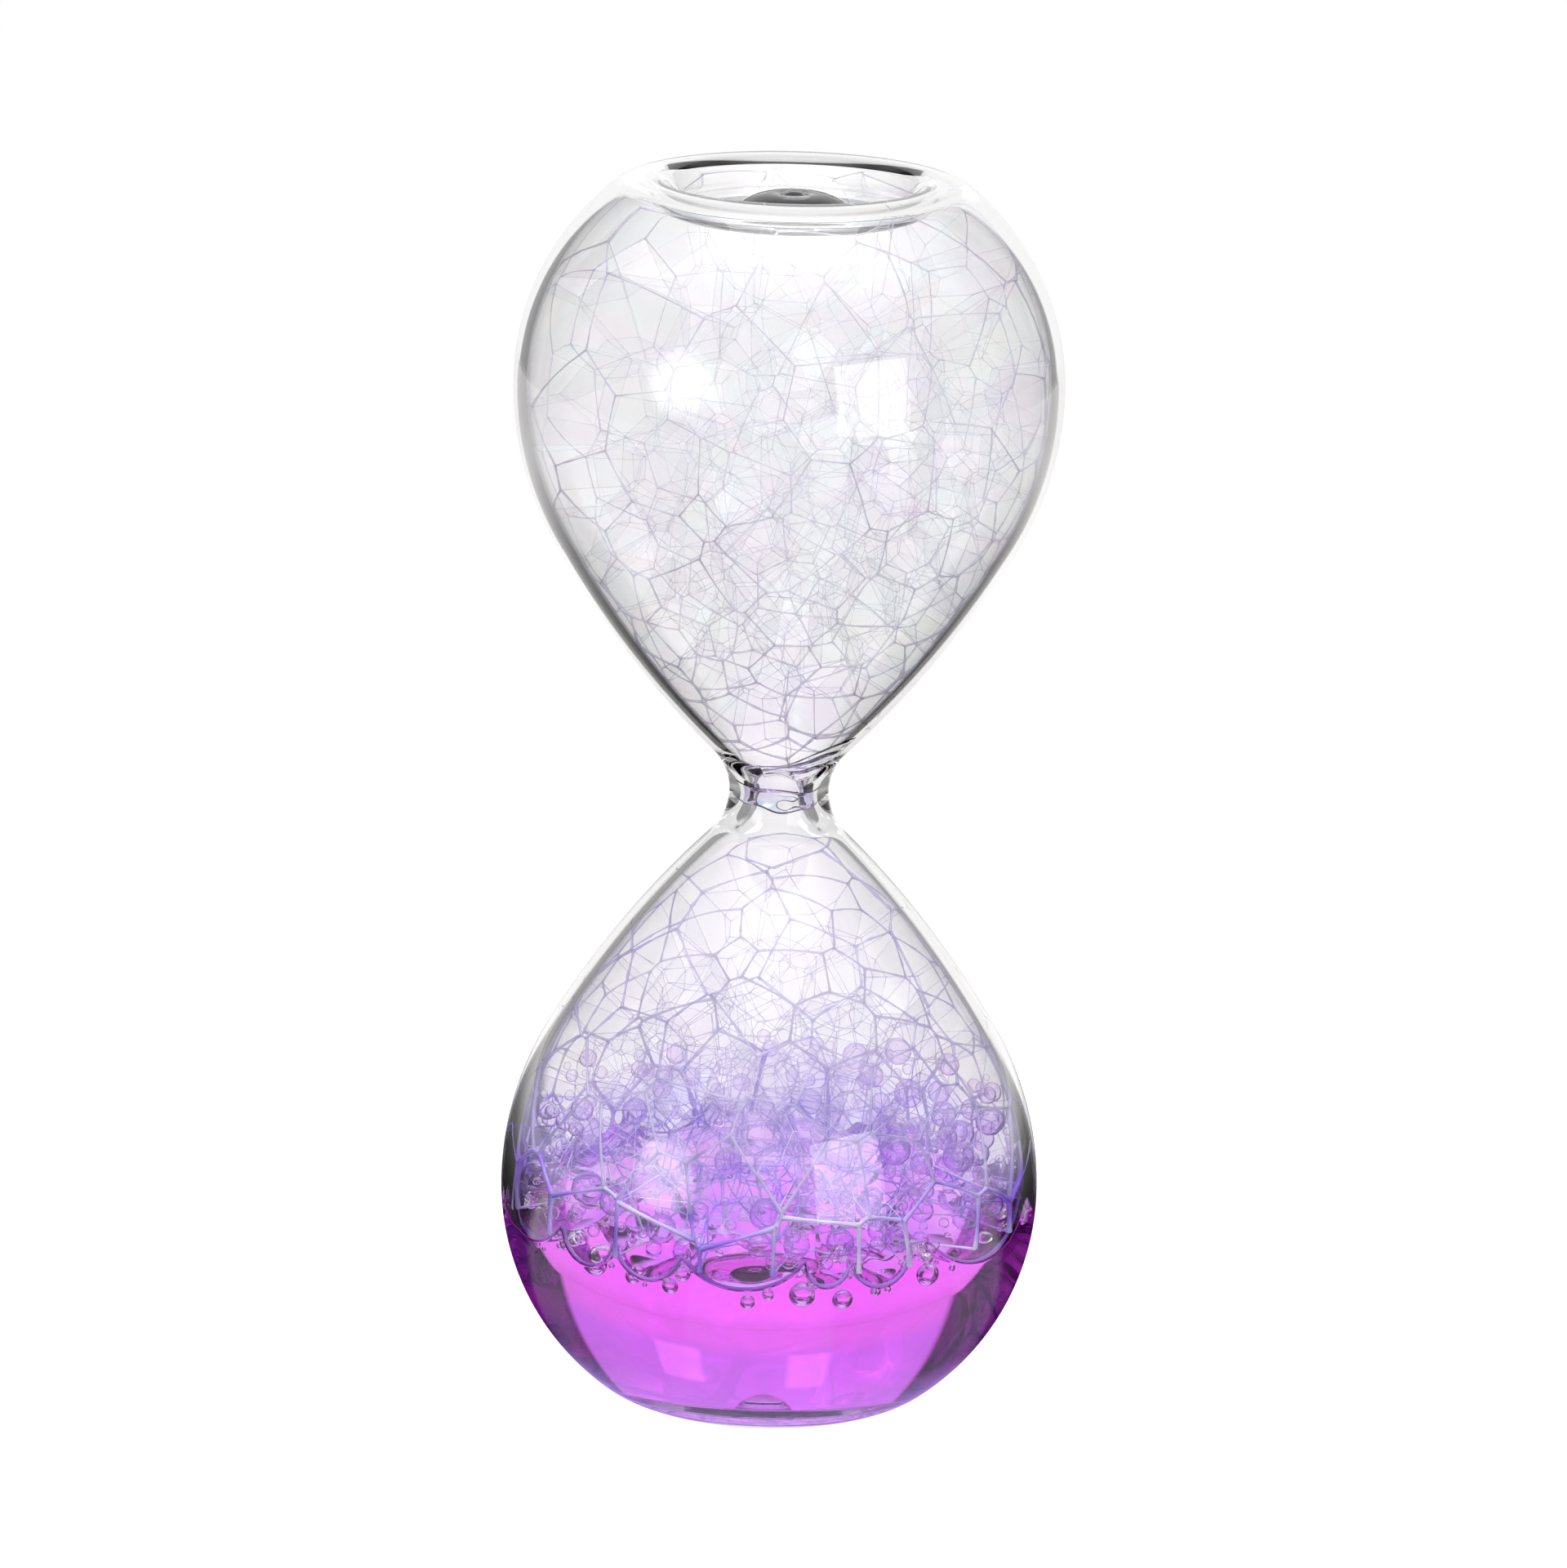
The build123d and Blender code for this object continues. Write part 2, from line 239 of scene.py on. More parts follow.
class Tree:
    """Short hand for wiring nodes."""

    def __init__(self, tree):
        self.tree = tree

    def node(self, kind, **settings):
        x = self.tree.nodes.new(kind)
        for key, value in settings.items():
            setattr(x, key, value)
        return x

    def feed(self, socket, value):
        """Sets a socket to a number or a colour, or wires another socket to it."""
        if isinstance(value, (int, float, tuple)):
            socket.default_value = value
        else:
            self.tree.links.new(value, socket)

    def math(self, op, a, b=0.0):
        x = self.node("ShaderNodeMath", operation=op)
        self.feed(x.inputs[0], a)
        self.feed(x.inputs[1], b)
        return x.outputs[0]

    def times(self, value, *factors):
        for factor in factors:
            value = self.math("MULTIPLY", value, factor)
        return value

    def inverse(self, value):
        return self.math("SUBTRACT", 1.0, value)

    def ramp(self, value, low, high):
        """0 below the low edge, 1 above the high one, smooth between them."""
        x = self.node("ShaderNodeMapRange", interpolation_type="SMOOTHSTEP")
        self.feed(x.inputs["Value"], value)
        self.feed(x.inputs["From Min"], low)
        self.feed(x.inputs["From Max"], high)
        return x.outputs["Result"]

    def colours(self, value, stops):
        """Colour ramp over a value, with stops of (position, colour)."""
        x = self.node("ShaderNodeValToRGB")
        elements = x.color_ramp.elements
        while len(elements) < len(stops):
            elements.new(0.5)
        for element, (position, colour) in zip(elements, stops):
            element.position = position
            element.color = (*colour, 1)
        self.feed(x.inputs["Fac"], value)
        return x.outputs["Color"]

    def blend(self, factor, a, b, how="MIX"):
        """Mix of two colours."""
        x = self.node("ShaderNodeMix", data_type="RGBA", blend_type=how)
        self.feed(x.inputs["Factor"], factor)
        self.feed(x.inputs["A"], a)
        self.feed(x.inputs["B"], b)
        return x.outputs["Result"]

    def mottle(self, scale, stops):
        """Colour that wanders through the stops with a noise in object space."""
        noise = self.node("ShaderNodeTexNoise")
        self.feed(noise.inputs["Vector"], self.node("ShaderNodeTexCoord").outputs["Object"])
        self.feed(noise.inputs["Scale"], scale)
        self.feed(noise.inputs["Detail"], 2.0)
        return self.colours(noise.outputs["Fac"], stops)

    def split(self, vector):
        x = self.node("ShaderNodeSeparateXYZ")
        self.feed(x.inputs[0], vector)
        return list(x.outputs)

    def length(self, x, y):
        return self.math("POWER", self.math("ADD", self.times(x, x), self.times(y, y)), 0.5)


# Materials
FILM_SCALE = 120.0
BORDER_SCALE = 90.0
FILM_ROUGHNESS = 0.15
WATER = 1.33
BOROSILICATE = 1.47


def material(name, **values):
    mat = bpy.data.materials.new(name)
    mat.use_nodes = True
    bsdf = mat.node_tree.nodes["Principled BSDF"]
    for key, value in values.items():
        bsdf.inputs[key.replace("_", " ")].default_value = value
    return mat, Tree(mat.node_tree), bsdf


def clear(name, ior, colour=None, density=0.0):
    """Clear material, coloured only by the depth of it that light passes."""
    mat, T, _ = material(name, Base_Color=WHITE, Roughness=0.0, IOR=ior, Transmission_Weight=1.0)
    if colour:
        depth = T.node("ShaderNodeVolumeAbsorption")
        depth.inputs["Color"].default_value = (*colour, 1)
        depth.inputs["Density"].default_value = density
        T.feed(T.tree.nodes["Material Output"].inputs["Volume"], depth.outputs[0])
    return mat


def mottled(name, scale, stops, **values):
    """Material whose colour wanders through the stops."""
    mat, T, bsdf = material(name, **values)
    T.feed(bsdf.inputs["Base Color"], T.mottle(scale, stops))
    return mat


def border(name, dark, pale, roughness, alpha):
    """Liquid along the edges of the films."""
    stops = [(0.35, dark), (0.6, pale)]
    return mottled(name, BORDER_SCALE, stops, Roughness=roughness, IOR=WATER, Alpha=alpha)


def film(name, stops, metallic, alpha):
    """Soap film: wandering tints, times the brightness that each film carries, which is painted shade for
    the dim ones.
    """
    mat, T, bsdf = material(name, Metallic=metallic, Roughness=FILM_ROUGHNESS, Alpha=alpha)
    painted_shade = T.node("ShaderNodeAttribute", attribute_name="painted_shade").outputs["Color"]
    T.feed(bsdf.inputs["Base Color"], T.blend(1.0, T.mottle(FILM_SCALE, stops), painted_shade, "MULTIPLY"))
    return mat


def set_painted_shades(obj, dark, bluish):
    """Gives each film a random brightness from dark to 1, the dim ones a little bluish: painted shade,
    standing in for the grey-blue shadowed patches of the foam.
    """
    mesh = obj.data
    painted_shade = mesh.attributes.new("painted_shade", "FLOAT_COLOR", "FACE")
    value = dark + (1 - dark) * np.sqrt(rng.random(len(mesh.polygons)))
    rgba = np.stack([value, value, value ** (1 - bluish), np.ones(len(value))], 1)
    painted_shade.data.foreach_set("color", rgba.ravel())
    return obj


glass = clear("clear_glass", ior=BOROSILICATE, colour=(0.46, 0.43, 0.43), density=55.0)
purple = clear("purple_liquid", ior=WATER, colour=(0.95, 0.0, 1.0), density=39.0)
shell = clear("wet_shell", ior=WATER, colour=(0.60, 0.18, 0.97), density=1500.0)
lavender = clear("thin_liquid", ior=1.36, colour=(0.55, 0.35, 0.96), density=200.0)
gas = clear("gas_bubble", ior=WATER)

# The upper pip's mottle from near black to white is painted refraction: the dark and bright patches its
# glass shows of what lies around it
PAINTED_REFRACTION = [(0.40, (0.06, 0.06, 0.07)), (0.54, (0.45, 0.45, 0.48)), (0.64, (0.95, 0.95, 0.98))]
FAINT = [(0.35, (0.86, 0.86, 0.9)), (0.65, (1, 1, 1))]
seal = mottled("seal_glass", 420.0, PAINTED_REFRACTION, Roughness=0.03, IOR=1.5, Transmission_Weight=1.0)
clear_seal = mottled("clear_seal", 200.0, FAINT, Roughness=0.02, IOR=BOROSILICATE, Transmission_Weight=1.0)

PASTEL = [(0.30, (0.80, 0.88, 1.0)), (0.42, (1.0, 0.76, 0.93)), (0.50, (0.96, 0.97, 1.0)),
          (0.58, (0.76, 1.0, 0.94)), (0.68, (1.0, 0.95, 0.74))]
LILAC = [(0.3, (0.86, 0.84, 0.98)), (0.44, (1.0, 0.88, 0.94)), (0.55, (0.93, 0.92, 0.97)),
         (0.66, (0.90, 1.0, 0.95))]
VIOLET = [(0.38, (0.28, 0.10, 1.0)), (0.52, (0.70, 0.55, 1.0)), (0.64, (0.95, 0.92, 1.0))]
film_up = film("upper_foam_film", PASTEL, metallic=0.35, alpha=0.075)
film_low = film("lower_foam_film", LILAC, metallic=0.4, alpha=0.07)
film_wet = film("wet_foam_film", VIOLET, metallic=0.45, alpha=0.085)

border_up = border("upper_foam_border", (0.42, 0.40, 0.50), (0.66, 0.64, 0.74), roughness=0.15, alpha=0.55)
border_low = border("lower_foam_border", (0.38, 0.33, 0.64), (0.60, 0.55, 0.82), roughness=0.12, alpha=0.5)
border_wet = border("wet_foam_border", (0.34, 0.17, 0.92), (0.80, 0.73, 1.0), roughness=0.08, alpha=0.72)
rim_liquid = border("rim_liquid", (0.16, 0.03, 0.42), (0.40, 0.18, 0.72), roughness=0.06, alpha=0.72)

# Glass: both bulbs as one fused vessel, and the pips that close its filling holes
GLASS_STEP = 0.8
GLASS_SEGMENTS = 256


def lathe(name, loop, corners, segments):
    """Closed ring-shaped surface of revolution, with sharp edges at the corners of the loop."""
    bm = bmesh.new()
    turns = [2 * math.pi * k / segments for k in range(segments)]
    rows = []
    for r, z in loop:
        rows.append([bm.verts.new((r * math.cos(a) * MM, r * math.sin(a) * MM, z * MM)) for a in turns])
    for row, above in zip(rows, rows[1:] + rows[:1]):
        for k in range(segments):
            j = (k + 1) % segments
            bm.faces.new((row[k], row[j], above[j], above[k])).smooth = True
    for i in corners:
        for k in range(segments):
            bm.edges.get((rows[i][k], rows[i][(k + 1) % segments])).smooth = False
    return bm_object(name, bm)


outside = [p for p in profile(0, NECK_R, GLASS_STEP) if p[0] > HOLE_R] + [(HOLE_R, PUNT)]
inside = [p for p in profile(WALL, BORE_R, GLASS_STEP) if p[0] > HOLE_R] + [(HOLE_R, PUNT + WALL)]
loop = outside[::-1] + mirrored(outside)[1:] + mirrored(inside)[::-1] + inside[1:]
top_hole = 2 * len(outside) - 2
vessel = lathe("glass_vessel", loop, (0, top_hole, top_hole + 1, len(loop) - 1), GLASS_SEGMENTS)
place(vessel, glass, "glass", ["lower_bulb", "upper_bulb"])
pips = [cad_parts["lower_seal_pip"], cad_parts["upper_seal_pip"]]
for pip, mat in zip(pips, (clear_seal, seal)):
    pip.data.materials.clear()
    pip.data.materials.append(mat)
for piece in [vessel] + pips:
    piece.visible_shadow = False
    piece.visible_diffuse = False

# Soap foam: cells around seeds, clipped by the half-way planes to their neighbours
DARTS = 26000
DART_REACH = 31.0
WALL_SHARE = 0.3
SKIN = 2.0
ON_PLANE = 1e-7
SAME_POINT = 1e-5
BOX_CORNER = 1.8
CELL_BOX = 3.0
NEIGHBOURS = 90
MIRROR_REACH = 1.3
KEYS_PER_MM = 25
SNAP_NEAR = 0.25
SNAP_FAR = 3.0
SNAP_LIFT = 0.6
BOX = [
    [(-1, -1, -1), (-1, 1, -1), (1, 1, -1), (1, -1, -1)],
    [(-1, -1, 1), (1, -1, 1), (1, 1, 1), (-1, 1, 1)],
    [(-1, -1, -1), (1, -1, -1), (1, -1, 1), (-1, -1, 1)],
    [(-1, 1, -1), (-1, 1, 1), (1, 1, 1), (1, 1, -1)],
    [(-1, -1, -1), (-1, -1, 1), (-1, 1, 1), (-1, 1, -1)],
    [(1, -1, -1), (1, 1, -1), (1, 1, 1), (1, -1, 1)],
]


def by_wall(inner, wall, dist, fade):
    """The wall's values within the skin along the glass, changing to the inner ones over the fade."""
    w = np.clip(1 - (dist - SKIN) / fade, 0, 1)
    return inner * (1 - w) + wall * w


def varied(spacing):
    """Random spread of up to a quarter either way."""
    return spacing * (0.75 + 0.5 * rng.random(len(spacing)))


def throw_seeds(low_z, high_z, spacing, fixed):
    """Seeded darts: a dart stays when no earlier seed is within its spacing."""
    low = np.array((-DART_REACH, -DART_REACH, low_z))
    high = np.array((DART_REACH, DART_REACH, high_z))
    seeds = np.empty((DARTS + len(fixed), 3))
    sizes = np.empty(DARTS + len(fixed))
    n = 0
    for p, s in fixed:
        seeds[n], sizes[n] = p, s
        n += 1
    darts = low + rng.random((DARTS, 3)) * (high - low)
    _, dist = to_wall(darts)
    wanted = spacing(darts, dist)
    for p, d, s in zip(darts, dist, wanted):
        if d < WALL_SHARE * s:
            continue
        gap = seeds[:n] - p
        near = np.einsum("ij,ij->i", gap, gap)
        if (near < (0.5 * (s + sizes[:n])) ** 2).any():
            continue
        seeds[n], sizes[n] = p, s
        n += 1
    return seeds[:n], sizes[:n]


def clip_face(pts, sides, cap):
    """What is left of a polygon below a plane. The points where it is cut also go to the cap."""
    poly = []
    for i in range(len(pts)):
        p, a = pts[i - 1], sides[i - 1]
        q, b = pts[i], sides[i]
        if (a > 0) != (b > 0):
            t = a / (a - b)
            x = (p[0] + (q[0] - p[0]) * t, p[1] + (q[1] - p[1]) * t, p[2] + (q[2] - p[2]) * t)
            poly.append(x)
            cap.append(x)
        if b <= 0:
            poly.append(q)
    return poly


def cap_polygon(cap, normal):
    """The points of a cut in order round their middle, without doubles."""
    nx, ny, nz = normal
    cx, cy, cz = [sum(p[k] for p in cap) / len(cap) for k in range(3)]
    ux, uy, uz = cap[0][0] - cx, cap[0][1] - cy, cap[0][2] - cz
    vx, vy, vz = ny * uz - nz * uy, nz * ux - nx * uz, nx * uy - ny * ux

    def angle(p):
        dx, dy, dz = p[0] - cx, p[1] - cy, p[2] - cz
        return math.atan2(dx * vx + dy * vy + dz * vz, dx * ux + dy * uy + dz * uz)

    order = sorted(cap, key=angle)
    ring = [order[0]]
    for p in order[1:]:
        if sum(abs(a - b) for a, b in zip(p, ring[-1])) > SAME_POINT:
            ring.append(p)
    return ring


def clip_cell(seed, others, ids, half):
    """Faces (neighbour, polygon) of a cell, cut from a box by the neighbours from near to far."""
    sx, sy, sz = seed
    faces = [(-1, [(sx + half * a, sy + half * b, sz + half * c) for a, b, c in f]) for f in BOX]
    reach = half * BOX_CORNER
    for (qx, qy, qz), nid in zip(others, ids):
        nx, ny, nz = qx - sx, qy - sy, qz - sz
        length = math.sqrt(nx * nx + ny * ny + nz * nz)
        if length > 2 * reach:
            break
        nx, ny, nz = nx / length, ny / length, nz / length
        off = nx * (sx + qx) / 2 + ny * (sy + qy) / 2 + nz * (sz + qz) / 2
        kept, cap, cut = [], [], False
        for fid, pts in faces:
            sides = [nx * x + ny * y + nz * z - off for x, y, z in pts]
            if max(sides) <= ON_PLANE:
                kept.append((fid, pts))
                continue
            cut = True
            if min(sides) >= -ON_PLANE:
                continue
            poly = clip_face(pts, sides, cap)
            if len(poly) > 2:
                kept.append((fid, poly))
        if not cut:
            continue
        ring = cap_polygon(cap, (nx, ny, nz)) if len(cap) > 2 else []
        if len(ring) > 2:
            kept.append((nid, ring))
        faces = kept
        corners = [p for _, pts in faces for p in pts]
        reach = math.sqrt(max((x - sx) ** 2 + (y - sy) ** 2 + (z - sz) ** 2 for x, y, z in corners))
    return faces


def with_mirrors(seeds, sizes, floor_z):
    """The seeds, then their mirror images in the glass and in the pool, which end the cells there."""
    foot, dist = to_wall(seeds)
    near = np.where(dist < MIRROR_REACH * sizes)[0]
    ghosts = [2 * foot[near] - seeds[near]]
    if floor_z is not None:
        low = np.where(seeds[:, 2] - floor_z < MIRROR_REACH * sizes)[0]
        under = seeds[low].copy()
        under[:, 2] = 2 * floor_z - under[:, 2]
        ghosts.append(under)
    return np.concatenate([seeds] + ghosts)


def cell_around(i, every, size):
    gap = every - every[i]
    d2 = np.einsum("ij,ij->i", gap, gap)
    close = np.argpartition(d2, min(NEIGHBOURS, len(every) - 1))[:NEIGHBOURS]
    close = close[np.argsort(d2[close])][1:]
    return clip_cell(tuple(every[i]), [tuple(q) for q in every[close]], close.tolist(), CELL_BOX * size)


def settle(seeds, sizes, floor_z, fixed):
    """Moves each free seed to the middle of its cell, which evens the cells out."""
    every = with_mirrors(seeds, sizes, floor_z)
    moved = seeds.copy()
    for i in range(fixed, len(seeds)):
        corners = [p for _, pts in cell_around(i, every, sizes[i]) for p in pts]
        moved[i] = np.mean(corners, 0)
    return moved


def corner_key(p):
    """Corners of cells with the same key are one vertex."""
    return (round(p[0] * KEYS_PER_MM), round(p[1] * KEYS_PER_MM), round(p[2] * KEYS_PER_MM))


def soap_foam(seeds, sizes, floor_z):
    """Vertices, films (polygons) and borders (edges) of the foam, and which vertices lie on the glass."""
    n = len(seeds)
    every = with_mirrors(seeds, sizes, floor_z)
    films, known, verts, on_wall = [], {}, [], []

    def vertex(p, wall_keys):
        key = corner_key(p)
        if key not in known:
            known[key] = len(verts)
            verts.append(p)
            on_wall.append(False)
        k = known[key]
        on_wall[k] = on_wall[k] or key in wall_keys
        return k

    for i in range(n):
        faces = cell_around(i, every, sizes[i])
        wall_keys = {corner_key(p) for nid, pts in faces if nid >= n or nid < 0 for p in pts}
        for nid, pts in faces:
            if not i < nid < n:
                continue
            ids = []
            for p in pts:
                k = vertex(p, wall_keys)
                if not ids or ids[-1] != k:
                    ids.append(k)
            if len(ids) > 1 and ids[0] == ids[-1]:
                ids.pop()
            if len(ids) > 2:
                films.append(ids)
    verts = np.array(verts)
    foot, dist = to_wall(verts)
    above = verts[:, 2] > (floor_z or -1) + SNAP_LIFT
    snap = (dist < SNAP_NEAR) | (np.array(on_wall) & (dist < SNAP_FAR) & above)
    verts[snap] = foot[snap]
    pairs = [(min(a, b), max(a, b)) for ids in films for a, b in zip(ids, ids[1:] + ids[:1])]
    return verts, films, list(dict.fromkeys(pairs)), snap


# Liquid borders along the film edges
BORDER_SIDES = 6
SHORTEST = 0.05
ONTO_GLASS = 2.0
STATION = 0.28
STATION_BEND = 0.8
END_SWELL = 1.5
MIDDLE_SWELL = 0.85
UPRIGHT = 0.9


def tubes(name, verts, edges, snap, radius, upside_down=False):
    """Tubes along the edges, thicker towards their ends and bent to the glass where they lie on it."""
    pairs = np.array([e for e in edges if np.linalg.norm(verts[e[0]] - verts[e[1]]) > SHORTEST])
    a, b = verts[pairs[:, 0]], verts[pairs[:, 1]]
    mid = (a + b) / 2
    wall = snap[pairs[:, 0]] & snap[pairs[:, 1]]
    foot, dist = to_wall(mid[wall])
    mid[wall] = np.where(dist[:, None] < ONTO_GLASS, foot, mid[wall])
    axis = b - a
    axis /= np.linalg.norm(axis, axis=1)[:, None]
    ref = np.where(np.abs(axis[:, 2:]) < UPRIGHT, [[0, 0, 1.0]], [[1.0, 0, 0]])
    u = np.cross(axis, ref)
    u /= np.linalg.norm(u, axis=1)[:, None]
    v = np.cross(axis, u)
    bend = (mid - (a + b) / 2) * STATION_BEND
    stations = [
        (a, END_SWELL),
        (a * (1 - STATION) + b * STATION + bend, 1.0),
        (mid, MIDDLE_SWELL),
        (a * STATION + b * (1 - STATION) + bend, 1.0),
        (b, END_SWELL),
    ]
    rad = radius(mid, wall)
    out = []
    for centre, swell in stations:
        for k in range(BORDER_SIDES):
            t = 2 * math.pi * k / BORDER_SIDES
            out.append(centre + (u * math.cos(t) + v * math.sin(t)) * (rad * swell)[:, None])
    points = np.stack(out, 1).reshape(-1, 3)
    quads = np.array(ring_quads(len(stations), BORDER_SIDES))
    if upside_down:
        points = flip(points)
        quads = quads[:, [0, 3, 2, 1]]
    starts = np.arange(len(pairs)) * len(out)
    faces = (starts[:, None, None] + quads[None]).reshape(-1, 4)
    return new_mesh(name, points * MM, faces.tolist())


# Foam in the lower bulb, around large wet bubbles along the front (azimuth and half width in degrees)
HEAP_TOP = 39.0
HEAP_FALL = 8.0
FRONT_ROW = [(-64, 13), (-43, 7.7), (-27, 8.3), (-5.4, 13.4), (13.2, 5.2), (25.6, 7.2), (55, 15.6)]
FRONT_ROW_R = 29.0
FRONT_ROW_Z = 26.3
FRONT_ROW_INSET = 0.32
FRONT_CELL = 5.0
FRONT_CELL_SHARE = 0.8
LOWER_FADE = 5.0
THROAT_CELL = ((0, 0, 73.0), 11.0)
FOAM_FLOOR = LEVEL - 0.3
LOWER_DART_Z = (LEVEL + 0.8, 66.5)
LOWER_FILM_TOP = 69.5
BORDER_TOP = 70.5


def lower_spacing(p, dist):
    z = p[:, 2]
    inner = np.interp(z, [24, 33, 42, 52, 60, 68], [5.0, 5.4, 6.4, 7.6, 9.0, 10.0])
    wall = np.interp(z, [24, 30, 40, 52, 60, 68], [7.5, 6.6, 6.6, 8.4, 10.0, 10.0])
    return varied(by_wall(inner, wall, dist, LOWER_FADE))


def lower_radius(mid, on_wall):
    wall = np.interp(mid[:, 2], [24, 30, 36, 50, 68], [0.30, 0.24, 0.17, 0.12, 0.12])
    return wall * np.where(on_wall, 1.0, np.interp(mid[:, 2], [26, 30, 38], [0.40, 0.20, 0.26]))


def front_seed(azimuth, half_width):
    spot = polar(azimuth, FRONT_ROW_R - FRONT_ROW_INSET * half_width, FRONT_ROW_Z)
    return (spot, max(FRONT_CELL, FRONT_CELL_SHARE * half_width))


def in_heap(ids):
    """True for films and borders in the wet heap, which stands higher in the middle."""
    x, y, z = lv[list(ids)].mean(0)
    return z < HEAP_TOP - HEAP_FALL * (x * x + y * y) / BELLY_R**2


def film_mesh(name, verts, films):
    used = sorted({i for f in films for i in f})
    index = {v: i for i, v in enumerate(used)}
    return new_mesh(name, verts[used] * MM, [[index[i] for i in f] for f in films], False)


fixed = [front_seed(*bubble) for bubble in FRONT_ROW] + [THROAT_CELL]
seeds, sizes = throw_seeds(*LOWER_DART_Z, lower_spacing, fixed)
seeds = settle(seeds, sizes, FOAM_FLOOR, len(fixed))
lv, films, edges, snap = soap_foam(seeds, sizes, FOAM_FLOOR)
films = [f for f in films if lv[f][:, 2].mean() < LOWER_FILM_TOP]
dry = film_mesh("lower_films", lv, [f for f in films if not in_heap(f)])
damp = film_mesh("wet_films", lv, [f for f in films if in_heap(f)])
# The random film brightness is painted shade: darker films stand in for foam in shadow
place(set_painted_shades(dry, dark=0.62, bluish=0.4), film_low, "lower_contents",
      ["lower_foam_base", "lower_foam_middle", "lower_foam_peak"])
place(set_painted_shades(damp, dark=0.25, bluish=0.95), film_wet, "lower_contents",
      ["wet_foam"])
edges = [e for e in edges if lv[list(e)][:, 2].max() < BORDER_TOP]
dry = tubes("lower_borders", lv, [e for e in edges if not in_heap(e)], snap, lower_radius)
damp = tubes("wet_borders", lv, [e for e in edges if in_heap(e)], snap, lower_radius)
place(dry, border_low, "lower_contents", [])
place(damp, border_wet, "lower_contents", [])

# Foam in the upper bulb, grown upside down in the lower one's outline
UPPER_THROAT_CELL = ((0, 0, 71.5), 7.0)
UPPER_DART_Z = (6.0, 67.5)
UPPER_FILM_TOP = 70.0
UPPER_FADE = 3.0
ON_GLASS_SHARE = 1.05
INSIDE_SHARE = 0.35


def upper_spacing(p, dist):
    z = p[:, 2]
    inner = np.interp(z, [6, 14, 30, 45, 60, 70], [12.0, 10.5, 8.2, 7.0, 6.4, 7.5])
    wall = np.interp(z, [6, 14, 30, 45, 60, 70], [11.0, 9.0, 6.2, 4.8, 4.6, 6.4])
    side = np.interp(p[:, 0], [-30, -10, 10, 30], [1.4, 1.0, 0.9, 0.74])
    return varied(by_wall(inner, wall, dist, UPPER_FADE) * side)


def upper_radius(mid, on_wall):
    size = np.interp(mid[:, 2], [6, 30, 55, 66], [0.08, 0.08, 0.09, 0.12])
    return size * np.where(on_wall, ON_GLASS_SHARE, INSIDE_SHARE)


seeds, sizes = throw_seeds(*UPPER_DART_Z, upper_spacing, [UPPER_THROAT_CELL])
seeds = settle(seeds, sizes, None, 1)
uv, films, edges, snap = soap_foam(seeds, sizes, None)
films = [f for f in films if uv[f][:, 2].mean() < UPPER_FILM_TOP]
upper_films = new_mesh("upper_films", flip(uv) * MM, films, False)
# The random film brightness is painted shade: darker films stand in for foam in shadow
place(set_painted_shades(upper_films, dark=0.76, bluish=0.7), film_up, "upper_contents",
      ["upper_foam_base", "upper_foam_middle", "upper_foam_crown"])
edges = [e for e in edges if uv[list(e)][:, 2].max() < BORDER_TOP]
upper_borders = tubes("upper_borders", uv, edges, snap, upper_radius, upside_down=True)
place(upper_borders, border_up, "upper_contents", [])

# Liquid with a dimple under every wet bubble and ridges between them
RIDGE = 2.2
RIDGE_BLEND = 0.12
NO_BOWL = LEVEL + 9
LEVEL_R = 30.0
DIMPLE_R = 31.5
DIMPLE_INSET = 0.45
WALL_LIFT = 0.6
SMALL_LIFT = 0.3
WIDE_BUBBLE = 7.0
WIDE_DEPTH = 3.2
NARROW_DEPTH = 2.6
REAR_FROM = 78.0
REAR_TO = 285.0
SMALL_DIMPLES = 70
SMALL_REACH = 27.0
INTO_GLASS = 0.1
WALL_STEP = 0.1
WALL_FROM = 10.0
WALL_TO = 40.0
BOTTOM_STEP = 0.4
RIM_GUESS = 30.8
LIQUID_SEGMENTS = 480
LIQUID_RINGS = 150
SIDE_DROP = 6.0
SIDE_ROWS = 12
RIM_PASSES = 6
LIQUID_WELD = 1e-7
ROOT_R = (HOLE_R**2 + ROOT_RISE**2) / (2 * ROOT_RISE)


def dimple(x, y, half, depth, lift):
    """Ball (x, y, z, radius) that sinks a bowl of the given half width and depth into the liquid."""
    radius = (half**2 + depth**2) / (2 * depth)
    return (x, y, LEVEL + lift - depth + radius, radius)


def wall_dimple(azimuth, half_width, depth):
    """Dimple under a bubble that stands against the glass, with its half width in degrees."""
    half = math.radians(half_width) * LEVEL_R
    x, y, _ = polar(azimuth, DIMPLE_R - DIMPLE_INSET * half, 0)
    return dimple(x, y, half, depth, WALL_LIFT)


def all_dimples():
    """The front row of bubbles, a random row behind it, and small bubbles all over."""
    balls = []
    for azimuth, half in FRONT_ROW:
        balls.append(wall_dimple(azimuth, half, WIDE_DEPTH if half > WIDE_BUBBLE else NARROW_DEPTH))
    azimuth = REAR_FROM
    while azimuth < REAR_TO:
        half = draw(6.0, 13.0)
        azimuth += half
        balls.append(wall_dimple(azimuth, half, draw(2.0, 3.4)))
        azimuth += half
    for _ in range(SMALL_DIMPLES):
        r = draw(0.0, SMALL_REACH, 0.5)
        t = draw(0.0, 2 * math.pi)
        half = draw(1.5, 4.0)
        balls.append(dimple(r * math.cos(t), r * math.sin(t), half, half / 2, SMALL_LIFT))
    return np.array(balls)


